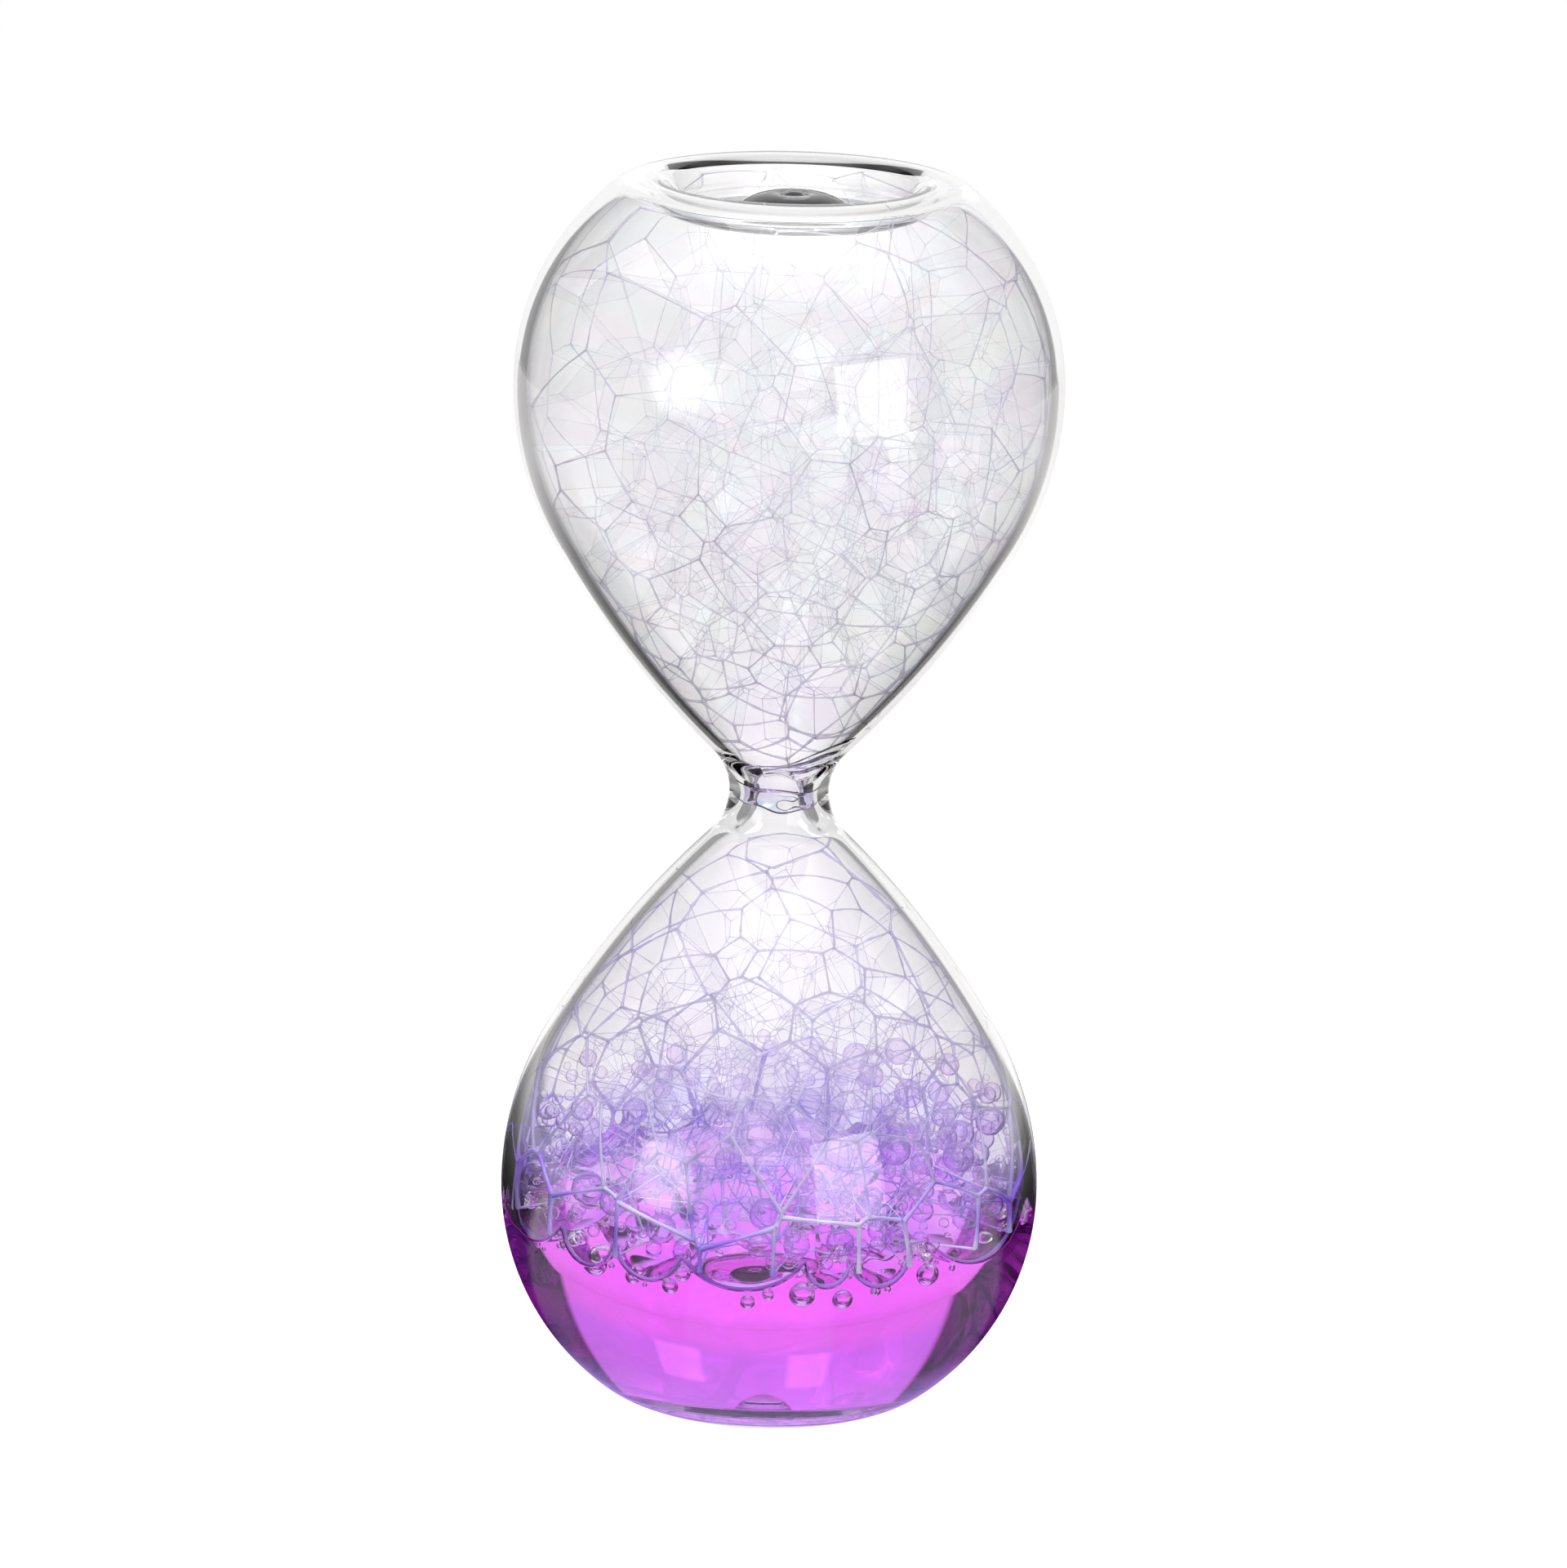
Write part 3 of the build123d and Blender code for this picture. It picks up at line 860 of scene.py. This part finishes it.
ball_x, ball_y, ball_z, ball_r = [column[:, None] for column in all_dimples().T]
wall_rz = np.array(profile(WALL - INTO_GLASS, BORE_R, WALL_STEP))
wall_rz = wall_rz[(wall_rz[:, 1] > WALL_FROM) & (wall_rz[:, 1] < WALL_TO)][::-1]
turn = 2 * np.pi * np.arange(LIQUID_SEGMENTS) / LIQUID_SEGMENTS


def wall_radius(z):
    """Radius of the inside of the glass around the liquid's level, a hair into the glass."""
    return np.interp(z, wall_rz[:, 1], wall_rz[:, 0])


def surface(x, y):
    """Height of the liquid: under the balls, with soft ridges between them."""
    d2 = (ball_x - x) ** 2 + (ball_y - y) ** 2
    bowl = ball_z - np.sqrt(np.maximum(ball_r**2 - d2, 0))
    bowl = np.where(d2 < ball_r**2, bowl, NO_BOWL)
    z = np.concatenate([bowl, np.full((1, len(x)), LEVEL + RIDGE)])
    low = z.min(0)
    return low - RIDGE_BLEND * np.log(np.exp(-(z - low) / RIDGE_BLEND).sum(0))


def over_root(r, z):
    """Bottom of the liquid, lifted where the root of the pip swells into it."""
    root = PUNT + WALL + ROOT_RISE - ROOT_R + math.sqrt(ROOT_R**2 - min(r, HOLE_R) ** 2)
    return (r, max(z, root - INTO_GLASS) if r < HOLE_R else z)


def level_ring(r, z):
    return np.stack([r * np.cos(turn), r * np.sin(turn), np.full(LIQUID_SEGMENTS, z)], 1)


rim = np.full(LIQUID_SEGMENTS, RIM_GUESS)
for _ in range(RIM_PASSES):
    rim = wall_radius(surface(rim * np.cos(turn), rim * np.sin(turn)))
rings = []
for i in range(LIQUID_RINGS + 1):
    share = i / LIQUID_RINGS
    x, y = rim * share * np.cos(turn), rim * share * np.sin(turn)
    rings.append(np.stack([x, y, surface(x, y)], 1))
rim_z = rings[-1][:, 2]
for i in range(1, SIDE_ROWS + 1):
    z = rim_z + (LEVEL - SIDE_DROP - rim_z) * i / SIDE_ROWS
    rings.append(level_ring(wall_radius(z), z))
for r, z in profile(WALL - INTO_GLASS, BORE_R, BOTTOM_STEP):
    if z < LEVEL - SIDE_DROP:
        rings.append(level_ring(*over_root(r, z)))
liquid = new_mesh("liquid", np.concatenate(rings) * MM, ring_quads(len(rings), LIQUID_SEGMENTS))
face_outwards(liquid, LIQUID_WELD)
place(liquid, purple, "lower_contents", ["liquid_pool"], shadow=False)

# Thicker rim of liquid where the foam line meets the glass
RIM_SIDES = 8
RIM_FLAT = 0.6
RIM_INSET = 0.42
RIM_LIFT = 0.05


def loop_tube(name, points, radius):
    """Closed tube along the points, flattened in the direction away from the axis."""
    ahead = np.roll(points, -1, 0) - np.roll(points, 1, 0)
    ahead /= np.linalg.norm(ahead, axis=1)[:, None]
    out = points * [1, 1, 0]
    out /= np.linalg.norm(out, axis=1)[:, None]
    u = out - ahead * (out * ahead).sum(1)[:, None]
    u /= np.linalg.norm(u, axis=1)[:, None]
    v = np.cross(ahead, u)
    turns = [2 * math.pi * k / RIM_SIDES for k in range(RIM_SIDES)]
    rows = [points + (u * math.cos(a) * RIM_FLAT + v * math.sin(a)) * radius[:, None] for a in turns]
    verts = np.stack(rows, 1).reshape(-1, 3)
    return new_mesh(name, verts * MM, ring_quads(len(points), RIM_SIDES, closed=True))


rim_line = level_ring(rim - RIM_INSET, rim_z + RIM_LIFT)
rim_size = 0.24 + 0.06 * np.sin(9 * turn) + 0.05 * np.sin(23 * turn + 1)
foam_line = loop_tube("foam_line", rim_line, rim_size)
place(foam_line, rim_liquid, "lower_contents", [])

# Free bubbles in the liquid, each on its own body
BUBBLES = ("left", "centre", "small", "right", "far_right")
FREE_SQUAT = 0.96
FREE_SEED = 40
FINE_FROM = 0.9
UNEVEN = 0.03


def ball(centre, radius, squat, seed):
    """Gas pocket in the liquid: a slightly squat, slightly uneven ball that faces inwards."""
    lean = np.random.default_rng(seed).normal(0, UNEVEN, (3, 3))
    bm = bmesh.new()
    bmesh.ops.create_icosphere(bm, subdivisions=4 if radius > FINE_FROM else 3, radius=1.0)
    for v in bm.verts:
        d = np.array(v.co)
        swell = radius * (1 + d @ lean @ d)
        v.co = MM * (Vector(centre) + Vector((d[0] * swell, d[1] * swell, d[2] * swell * squat)))
    bmesh.ops.reverse_faces(bm, faces=bm.faces)
    for f in bm.faces:
        f.smooth = True
    return bm


free = []
for k, n in enumerate(BUBBLES):
    low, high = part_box("surface_bubble_" + n)
    centre = (low + high) / 2 / MM
    radius = (high.x - low.x) / 2 / MM
    free.append((centre, radius))
    bubble = bm_object("free_bubble_" + n, ball(centre, radius, FREE_SQUAT, FREE_SEED + k))
    place(bubble, gas, "bubble_" + n, ["surface_bubble_" + n], shadow=False)

# Small gas bubbles caught in the liquid, along the glass and under the foam
BEADS = 170
BEAD_TRIES = 900
BEAD_SQUAT = 0.95
BEAD_SEED = 100
AT_WALL = 0.75
AT_WALL_R = 30.4
INNER_REACH = 28.0
DIMPLE_Z = LEVEL - 0.3
IN_DIMPLE = 0.07
BEAD_GAP = 0.25
FREE_GAP = 0.4


def bead_spot():
    """Random place and radius of a bead, or None where it would have no room."""
    radius = draw(0.3, 1.1, 2)
    along_wall = rng.random() < AT_WALL
    a = draw(0.0, 2 * math.pi)
    if along_wall:
        off = AT_WALL_R - radius - BEAD_GAP - draw(0.0, 0.8)
    else:
        off = draw(0.0, INNER_REACH, 0.5)
    x, y = off * math.cos(a), off * math.sin(a)
    top = float(surface(np.array([x]), np.array([y]))[0])
    if top < DIMPLE_Z and rng.random() < 1 - IN_DIMPLE:
        return None
    z = top - radius - draw(0.1, 0.6, 2)
    if off + radius > wall_radius(z - radius) - BEAD_GAP:
        return None
    spot = Vector((x, y, z))
    if any((spot - c).length < radius + r + FREE_GAP for c, r in free):
        return None
    return spot, radius


beads = bmesh.new()
count = 0
for k in range(BEAD_TRIES):
    if count >= BEADS:
        break
    found = bead_spot()
    if not found:
        continue
    bead = ball(*found, BEAD_SQUAT, BEAD_SEED + k)
    mesh = bpy.data.meshes.new("bead")
    bead.to_mesh(mesh)
    bead.free()
    beads.from_mesh(mesh)
    bpy.data.meshes.remove(mesh)
    count += 1
bead_bubbles = bm_object("bead_bubbles", beads)
smooth(bead_bubbles.data)
place(bead_bubbles, gas, "lower_contents", [], shadow=False)

# Small round bubbles with wet walls, nested between the large ones
SHELLS = 300
SHELL_TRIES = 4000
SHELL_HOLLOW = 0.93

nest = bmesh.new()
taken = []
for _ in range(SHELL_TRIES):
    if len(taken) >= SHELLS:
        break
    radius = draw(0.5, 2.0, 2)
    a = draw(0.0, 2 * math.pi)
    z = LEVEL + draw(0.6, 12.6, 1.7)
    depth = draw(0.25, 7.25, 2)
    off = float(wall_radius(z)) - depth - radius
    p = np.array([off * math.cos(a), off * math.sin(a), z])
    if any(np.linalg.norm(p - q) < radius + r for q, r in taken):
        continue
    taken.append((p, radius))
    spot = Matrix.Translation(Vector(p * MM))
    bmesh.ops.create_icosphere(nest, subdivisions=2, radius=radius * MM, matrix=spot)
    hollow = bmesh.ops.create_icosphere(nest, subdivisions=2, radius=radius * SHELL_HOLLOW * MM, matrix=spot)
    bmesh.ops.reverse_faces(nest, faces=list({f for v in hollow["verts"] for f in v.link_faces}))
wet_shells = bm_object("wet_shells", nest)
smooth(wet_shells.data)
place(wet_shells, shell, "lower_contents", [], shadow=False)

# Lavender liquid left on the glass: the ring in the throat and the rivulet above it
RING_SEGMENTS = 96
RING_ROWS = 14
RING_BELOW = 1.5
RING_ABOVE = 1.4
RING_THICK = 0.72
RING_WELD = 2e-6
RIVULET_LONG = 72
RIVULET_WIDE = 26
RIVULET_FROM = -112.0
RIVULET_SPAN = 80.0
RIVULET_FOOT = 3.3
RIVULET_RISE = 5.6
RIVULET_THIN = 0.02
THROAT_OVERLAP = 0.05
THROAT_FROM = 40.0

throat = np.array(profile(WALL - THROAT_OVERLAP, BORE_R + THROAT_OVERLAP, WALL_STEP))
throat = throat[throat[:, 1] > THROAT_FROM][::-1]


def on_throat(a, z, thick):
    """Point in metres at an angle and height on the inside of the throat, the thickness off the glass."""
    r = np.interp(2 * WAIST - z if z > WAIST else z, throat[:, 1], throat[:, 0]) - thick
    return (r * math.cos(a) * MM, r * math.sin(a) * MM, z * MM)


def ring_point(share, a, inner):
    """Point of the throat ring, from its lower edge (share 0) to its upper one, on the glass or inside."""
    low = WAIST - RING_BELOW + 0.35 * math.sin(2 * a + 0.8) + 0.15 * math.sin(5 * a)
    high = WAIST + RING_ABOVE + 0.45 * math.sin(a - 1.2) + 0.2 * math.sin(3 * a)
    thick = RING_THICK * (1 - abs(2 * share - 1) ** 3) * (0.8 + 0.2 * math.sin(3 * a + 1))
    return on_throat(a, low + (high - low) * share, thick if inner else 0.0)


def rivulet_point(u, v, inner):
    """Point of the rivulet, u along it and v up from its lower edge, on the glass or inside."""
    a = math.radians(RIVULET_FROM + RIVULET_SPAN * u)
    z = WAIST + (RIVULET_FOOT + RIVULET_RISE * (0.25 + 0.75 * u) * v + 0.5 * math.sin(7 * u + 2 * v))
    edge = (1 - abs(2 * u - 1) ** 4) * (1 - abs(2 * v - 1) ** 3)
    thick = edge * (0.42 + 0.3 * math.sin(5.5 * v * math.pi + 5 * u) + 0.12 * math.sin(23 * u + 3 * v))
    return on_throat(a, z, max(RIVULET_THIN, thick) if inner else 0.0)


def ring_mesh():
    """Two bands around the throat that meet at their edges."""
    turns = [2 * math.pi * k / RING_SEGMENTS for k in range(RING_SEGMENTS)]
    shares = [i / RING_ROWS for i in range(RING_ROWS + 1)]
    verts = [ring_point(share, a, inner) for inner in (False, True) for share in shares for a in turns]
    half = len(verts) // 2
    band = ring_quads(RING_ROWS + 1, RING_SEGMENTS)
    faces = band + [tuple(i + half for i in quad) for quad in band]
    return new_mesh("throat_ring", verts, faces)


def rivulet_mesh():
    """Two patches, one on the glass and one inside it, closed along their edges."""
    row = RIVULET_WIDE + 1
    us = [i / RIVULET_LONG for i in range(RIVULET_LONG + 1)]
    vs = [j / RIVULET_WIDE for j in range(row)]
    verts = [rivulet_point(u, v, inner) for inner in (False, True) for u in us for v in vs]
    half = len(verts) // 2
    faces = []
    for patch in (0, half):
        for i in range(RIVULET_LONG):
            for j in range(RIVULET_WIDE):
                a = patch + i * row + j
                faces.append((a, a + 1, a + row + 1, a + row))
    low = [i * row for i in range(RIVULET_LONG + 1)]
    end = [RIVULET_LONG * row + j for j in range(1, row)]
    high = [i * row + RIVULET_WIDE for i in range(RIVULET_LONG - 1, -1, -1)]
    start = list(range(RIVULET_WIDE - 1, 0, -1))
    edge = low + end + high + start
    faces += [(a, b, b + half, a + half) for a, b in zip(edge, edge[1:] + edge[:1])]
    return new_mesh("rivulet", verts, faces)


ring = ring_mesh()
face_outwards(ring, RING_WELD)
place(ring, lavender, "glass", ["throat_film"], shadow=False)
rivulet = rivulet_mesh()
face_outwards(rivulet)
place(rivulet, lavender, "glass", ["drain_rivulet"], shadow=False)

# Stage: masks for what the glass and the liquid show of the floor and the world
SWEEP_TURN = math.radians(2.3)
SWEEP_AXIS = (math.sin(SWEEP_TURN), math.cos(SWEEP_TURN))
WING_EDGE = 0.90
WING_WIDER = 0.03
WING_SOFT = 0.02
WING_FRONT = 0.3
ACROSS = (0.20, 0.32)
FRONT_TO_BEHIND = (-0.25, 0.05)
IN_LIQUID = (4.5, 5.5)
PANE_SOFT = 0.008
TINY = 0.001


class Stage(Tree):
    """Node tree with masks for kinds of rays and for directions in the studio."""

    def rays(self):
        """Light path outputs, and masks for rays out of the liquid and for rays not sent through glass."""
        path = self.node("ShaderNodeLightPath").outputs
        filled = self.ramp(path["Transmission Depth"], *IN_LIQUID)
        bounced = self.inverse(path["Is Transmission Ray"])
        return path, filled, bounced

    def patch(self, vector, direction, outer, inner):
        """1 towards a direction, fading to 0 between the inner and the outer angle in degrees."""
        x = self.node("ShaderNodeVectorMath", operation="DOT_PRODUCT")
        self.feed(x.inputs[0], vector)
        self.feed(x.inputs[1], tuple(Vector(direction).normalized()))
        return self.ramp(x.outputs["Value"], math.cos(math.radians(outer)), math.cos(math.radians(inner)))

    def pane(self, xyz, across, up):
        """1 in a window of the backdrop, given as sideways shares of the depth and heights."""
        x = self.math("DIVIDE", xyz[0], self.math("MAXIMUM", xyz[1], TINY))
        edges = [(x, across[0], 1), (x, across[1], -1), (xyz[2], up[0], 1), (xyz[2], up[1], -1)]
        inside = 1.0
        for value, edge, sign in edges:
            fade = self.ramp(value, edge - PANE_SOFT * sign, edge + PANE_SOFT * sign)
            inside = self.times(fade, inside)
        return inside

    def wings(self, x, y, wide, bounced):
        """1 in the dim directions to either side of the sweep's axis, 0 along it.

        The dim is full from 26 degrees off the axis, or from 30 where the wide mask is 1. For rays sent
        through glass it ends again near straight across, which stays bright, and is weaker in front.
        """
        ahead = self.math("ADD", self.times(x, SWEEP_AXIS[0]), self.times(y, SWEEP_AXIS[1]))
        share = self.math("DIVIDE", ahead, self.math("MAXIMUM", self.length(x, y), TINY))
        along = self.math("ABSOLUTE", share)
        edge = self.math("SUBTRACT", WING_EDGE, self.times(wide, WING_WIDER))
        beside = self.inverse(self.ramp(along, edge, self.math("ADD", edge, WING_SOFT)))
        across = self.math("MAXIMUM", self.ramp(along, *ACROSS), bounced)
        behind = self.math("MAXIMUM", self.ramp(share, *FRONT_TO_BEHIND), bounced)
        strength = self.math("ADD", WING_FRONT, self.times(behind, 1 - WING_FRONT))
        return self.times(beside, across, strength)


# Floor: white for the camera, and seen through or in the glass as a bright sweep with dim wings, with
# painted violet light and a painted shadow around the glass in reflections
FLOOR_R = 0.8
FLOOR_SIDES = 96
FLOOR_GREY = (0.55, 0.55, 0.55, 1)
FLOOR_GLOW = 0.62
FLOOR_LIT = 1.25
FLOOR_DIM = 0.985
FLOOR_FAR_PALER = 0.53
FAR = (0.06, 0.40)
WING_START = (0.022, 0.032)
FALL_OFF = ((0.12, 0.32, 0.16), (0.36, 0.50, 0.08))
TINT_REACH = 0.4
ICE = (0.75, 0.95, 1.0)
# In reflections the floor around the glass is painted: violet at the foot for light cast through the liquid,
# then a painted shadow of the object, fading to white
PAINTED_CAUSTIC = (0.42, 0.30, 0.80)
UNDER = [(0.0, ICE), (0.065, ICE), (0.13, (1, 0.99, 0.985))]
PAINTED_CAUSTIC_AND_SHADOW = [(0.0, PAINTED_CAUSTIC), (0.05, PAINTED_CAUSTIC), (0.075, (0.07, 0.06, 0.12)), (0.25, (0.10, 0.10, 0.11)),
          (0.6, (1, 1, 1))]


def floor_material():
    mat = bpy.data.materials.new("pale_floor")
    mat.use_nodes = True
    T = Stage(mat.node_tree)
    T.tree.nodes.clear()
    x, y, _ = T.split(T.node("ShaderNodeTexCoord").outputs["Object"])
    path, filled, bounced = T.rays()
    flat = T.length(x, y)
    wing = T.wings(x, y, T.math("MAXIMUM", filled, bounced), bounced)
    far = T.times(T.ramp(flat, *FAR), T.inverse(filled))
    depth = T.math("SUBTRACT", FLOOR_DIM, T.times(far, FLOOR_FAR_PALER))
    dim = T.times(wing, T.ramp(flat, *WING_START), depth)
    lit = FLOOR_LIT
    for near, distant, loss in FALL_OFF:
        lit = T.math("SUBTRACT", lit, T.times(T.ramp(flat, near, distant), loss))
    away = T.math("DIVIDE", flat, TINT_REACH)
    # Reflections see the painted violet light and painted shadow around the glass; rays through the glass
    # see the paler tint under it
    tint = T.blend(path["Is Transmission Ray"], T.colours(away, PAINTED_CAUSTIC_AND_SHADOW), T.colours(away, UNDER))
    sweep = T.node("ShaderNodeEmission")
    T.feed(sweep.inputs["Color"], tint)
    T.feed(sweep.inputs["Strength"], T.times(lit, T.inverse(dim)))
    matt = T.node("ShaderNodeBsdfDiffuse")
    T.feed(matt.inputs["Color"], FLOOR_GREY)
    glow = T.node("ShaderNodeEmission")
    T.feed(glow.inputs["Strength"], T.times(path["Is Camera Ray"], FLOOR_GLOW))
    plain = T.node("ShaderNodeAddShader")
    T.feed(plain.inputs[0], matt.outputs[0])
    T.feed(plain.inputs[1], glow.outputs[0])
    mix = T.node("ShaderNodeMixShader")
    T.feed(mix.inputs[0], T.math("MAXIMUM", path["Is Glossy Ray"], path["Is Transmission Ray"]))
    T.feed(mix.inputs[1], plain.outputs[0])
    T.feed(mix.inputs[2], sweep.outputs[0])
    T.feed(T.node("ShaderNodeOutputMaterial").inputs["Surface"], mix.outputs[0])
    return mat


turns = [2 * math.pi * k / FLOOR_SIDES for k in range(FLOOR_SIDES)]
edge = [(FLOOR_R * math.cos(t), FLOOR_R * math.sin(t), 0) for t in turns]
floor = new_mesh("floor", edge, [tuple(range(FLOOR_SIDES))], False)
floor.data.materials.append(floor_material())

# World: white for the camera; for everything else a bright studio with dim wings
STUDIO = 1.06
STUDIO_DIM = 0.66
WING_TOP = (0.50, 0.75)
BACKDROP = (0.3, 0.5)
LAMP_PATCHES = (((0, -0.1, 1), 40, 6, 2.5), ((-0.722, -0.674, 0.156), 17, 6, 3.6))
PANES = ((-0.14, -0.05), (0.14, 0.25))
PANE_HEIGHTS = (0.07, 0.21)
PANE_GAIN = 0.45
COOL = (0.78, 0.92, 1.0)
COOL_BAND = [(0.03, (1, 1, 1)), (0.09, COOL), (0.40, COOL), (0.60, (1, 1, 1))]


def studio_world():
    world = bpy.data.worlds.new("studio")
    world.use_nodes = True
    T = Stage(world.node_tree)
    T.tree.nodes.clear()
    towards = T.node("ShaderNodeTexCoord").outputs["Generated"]
    x, y, z = T.split(towards)
    path, filled, bounced = T.rays()
    wide = T.math("MAXIMUM", filled, bounced)
    wing = T.wings(x, y, wide, bounced)
    band = T.inverse(T.ramp(z, *WING_TOP))
    depth = T.math("ADD", STUDIO_DIM, T.times(wide, 1 - STUDIO_DIM))
    light = T.math("SUBTRACT", STUDIO, T.times(wing, band, depth))
    for direction, outer, inner, gain in LAMP_PATCHES:
        light = T.math("ADD", light, T.times(T.patch(towards, direction, outer, inner), gain))
    for across in PANES:
        light = T.math("ADD", light, T.times(T.pane((x, y, z), across, PANE_HEIGHTS), PANE_GAIN))
    behind = T.times(T.inverse(wing), T.ramp(y, *BACKDROP))
    studio = T.node("ShaderNodeBackground")
    T.feed(studio.inputs["Color"], T.blend(T.times(behind, filled), WHITE, T.colours(z, COOL_BAND)))
    T.feed(studio.inputs["Strength"], light)
    paper = T.node("ShaderNodeBackground")
    T.feed(paper.inputs["Color"], WHITE)
    mix = T.node("ShaderNodeMixShader")
    T.feed(mix.inputs[0], path["Is Camera Ray"])
    T.feed(mix.inputs[1], studio.outputs[0])
    T.feed(mix.inputs[2], paper.outputs[0])
    T.feed(T.node("ShaderNodeOutputWorld").inputs["Surface"], mix.outputs[0])
    return world


scene.world = studio_world()


# Lamps
def softbox(name, spot, aim, size, power):
    light = bpy.data.lights.new(name, "AREA")
    light.shape = "RECTANGLE"
    light.size, light.size_y = size
    light.energy = power
    obj = add_object(name, light)
    obj.location = spot
    obj.rotation_euler = (Vector(aim) - Vector(spot)).to_track_quat("-Z", "Y").to_euler()
    obj.visible_camera = False
    return obj


overhead = softbox("overhead", spot=(0, -0.05, 0.95), aim=(0, 0, 0.1), size=(0.6, 0.45), power=3.0)
overhead.visible_glossy = False
right_box = softbox("right_box", spot=(0.57, -0.81, 0.20), aim=(0, 0, 0.05), size=(0.54, 0.62), power=2.9)

# The right-hand box shows as a highlight on the glass, but not as a window seen through both its walls
BOTH_WALLS = (2.5, 3.5)
right_box.data.use_nodes = True
T = Tree(right_box.data.node_tree)
walls = T.node("ShaderNodeLightPath").outputs["Transmission Depth"]
T.feed(T.tree.nodes["Emission"].inputs["Strength"], T.inverse(T.ramp(walls, *BOTH_WALLS)))

# Camera, with its lens and shift in pixels of a picture 1920 wide
PICTURE = 1920
FOCAL = 8310
SHIFT = (5.5, 7.5)
SENSOR = 36
ELEVATION = math.radians(15.3)
ROLL = math.radians(1.46)
DISTANCE = 0.811
centre = Vector((0, 0, WAIST * MM))
cam = bpy.data.cameras.new("camera")
cam.sensor_width = SENSOR
cam.lens = FOCAL / PICTURE * SENSOR
cam.shift_x = SHIFT[0] / PICTURE
cam.shift_y = SHIFT[1] / PICTURE
cam_obj = add_object("camera", cam)
cam_obj.location = centre + DISTANCE * Vector((0, -math.cos(ELEVATION), math.sin(ELEVATION)))
look = (centre - cam_obj.location).to_track_quat("-Z", "Y").to_matrix().to_4x4()
cam_obj.rotation_euler = (look @ Matrix.Rotation(ROLL, 4, "Z")).to_euler()
scene.camera = cam_obj

# Render settings that clear pieces inside clear pieces need
scene.view_settings.view_transform = "Standard"
scene.cycles.max_bounces = 24
scene.cycles.transmission_bounces = 20
scene.cycles.glossy_bounces = 8
scene.cycles.diffuse_bounces = 3
scene.cycles.transparent_max_bounces = 96
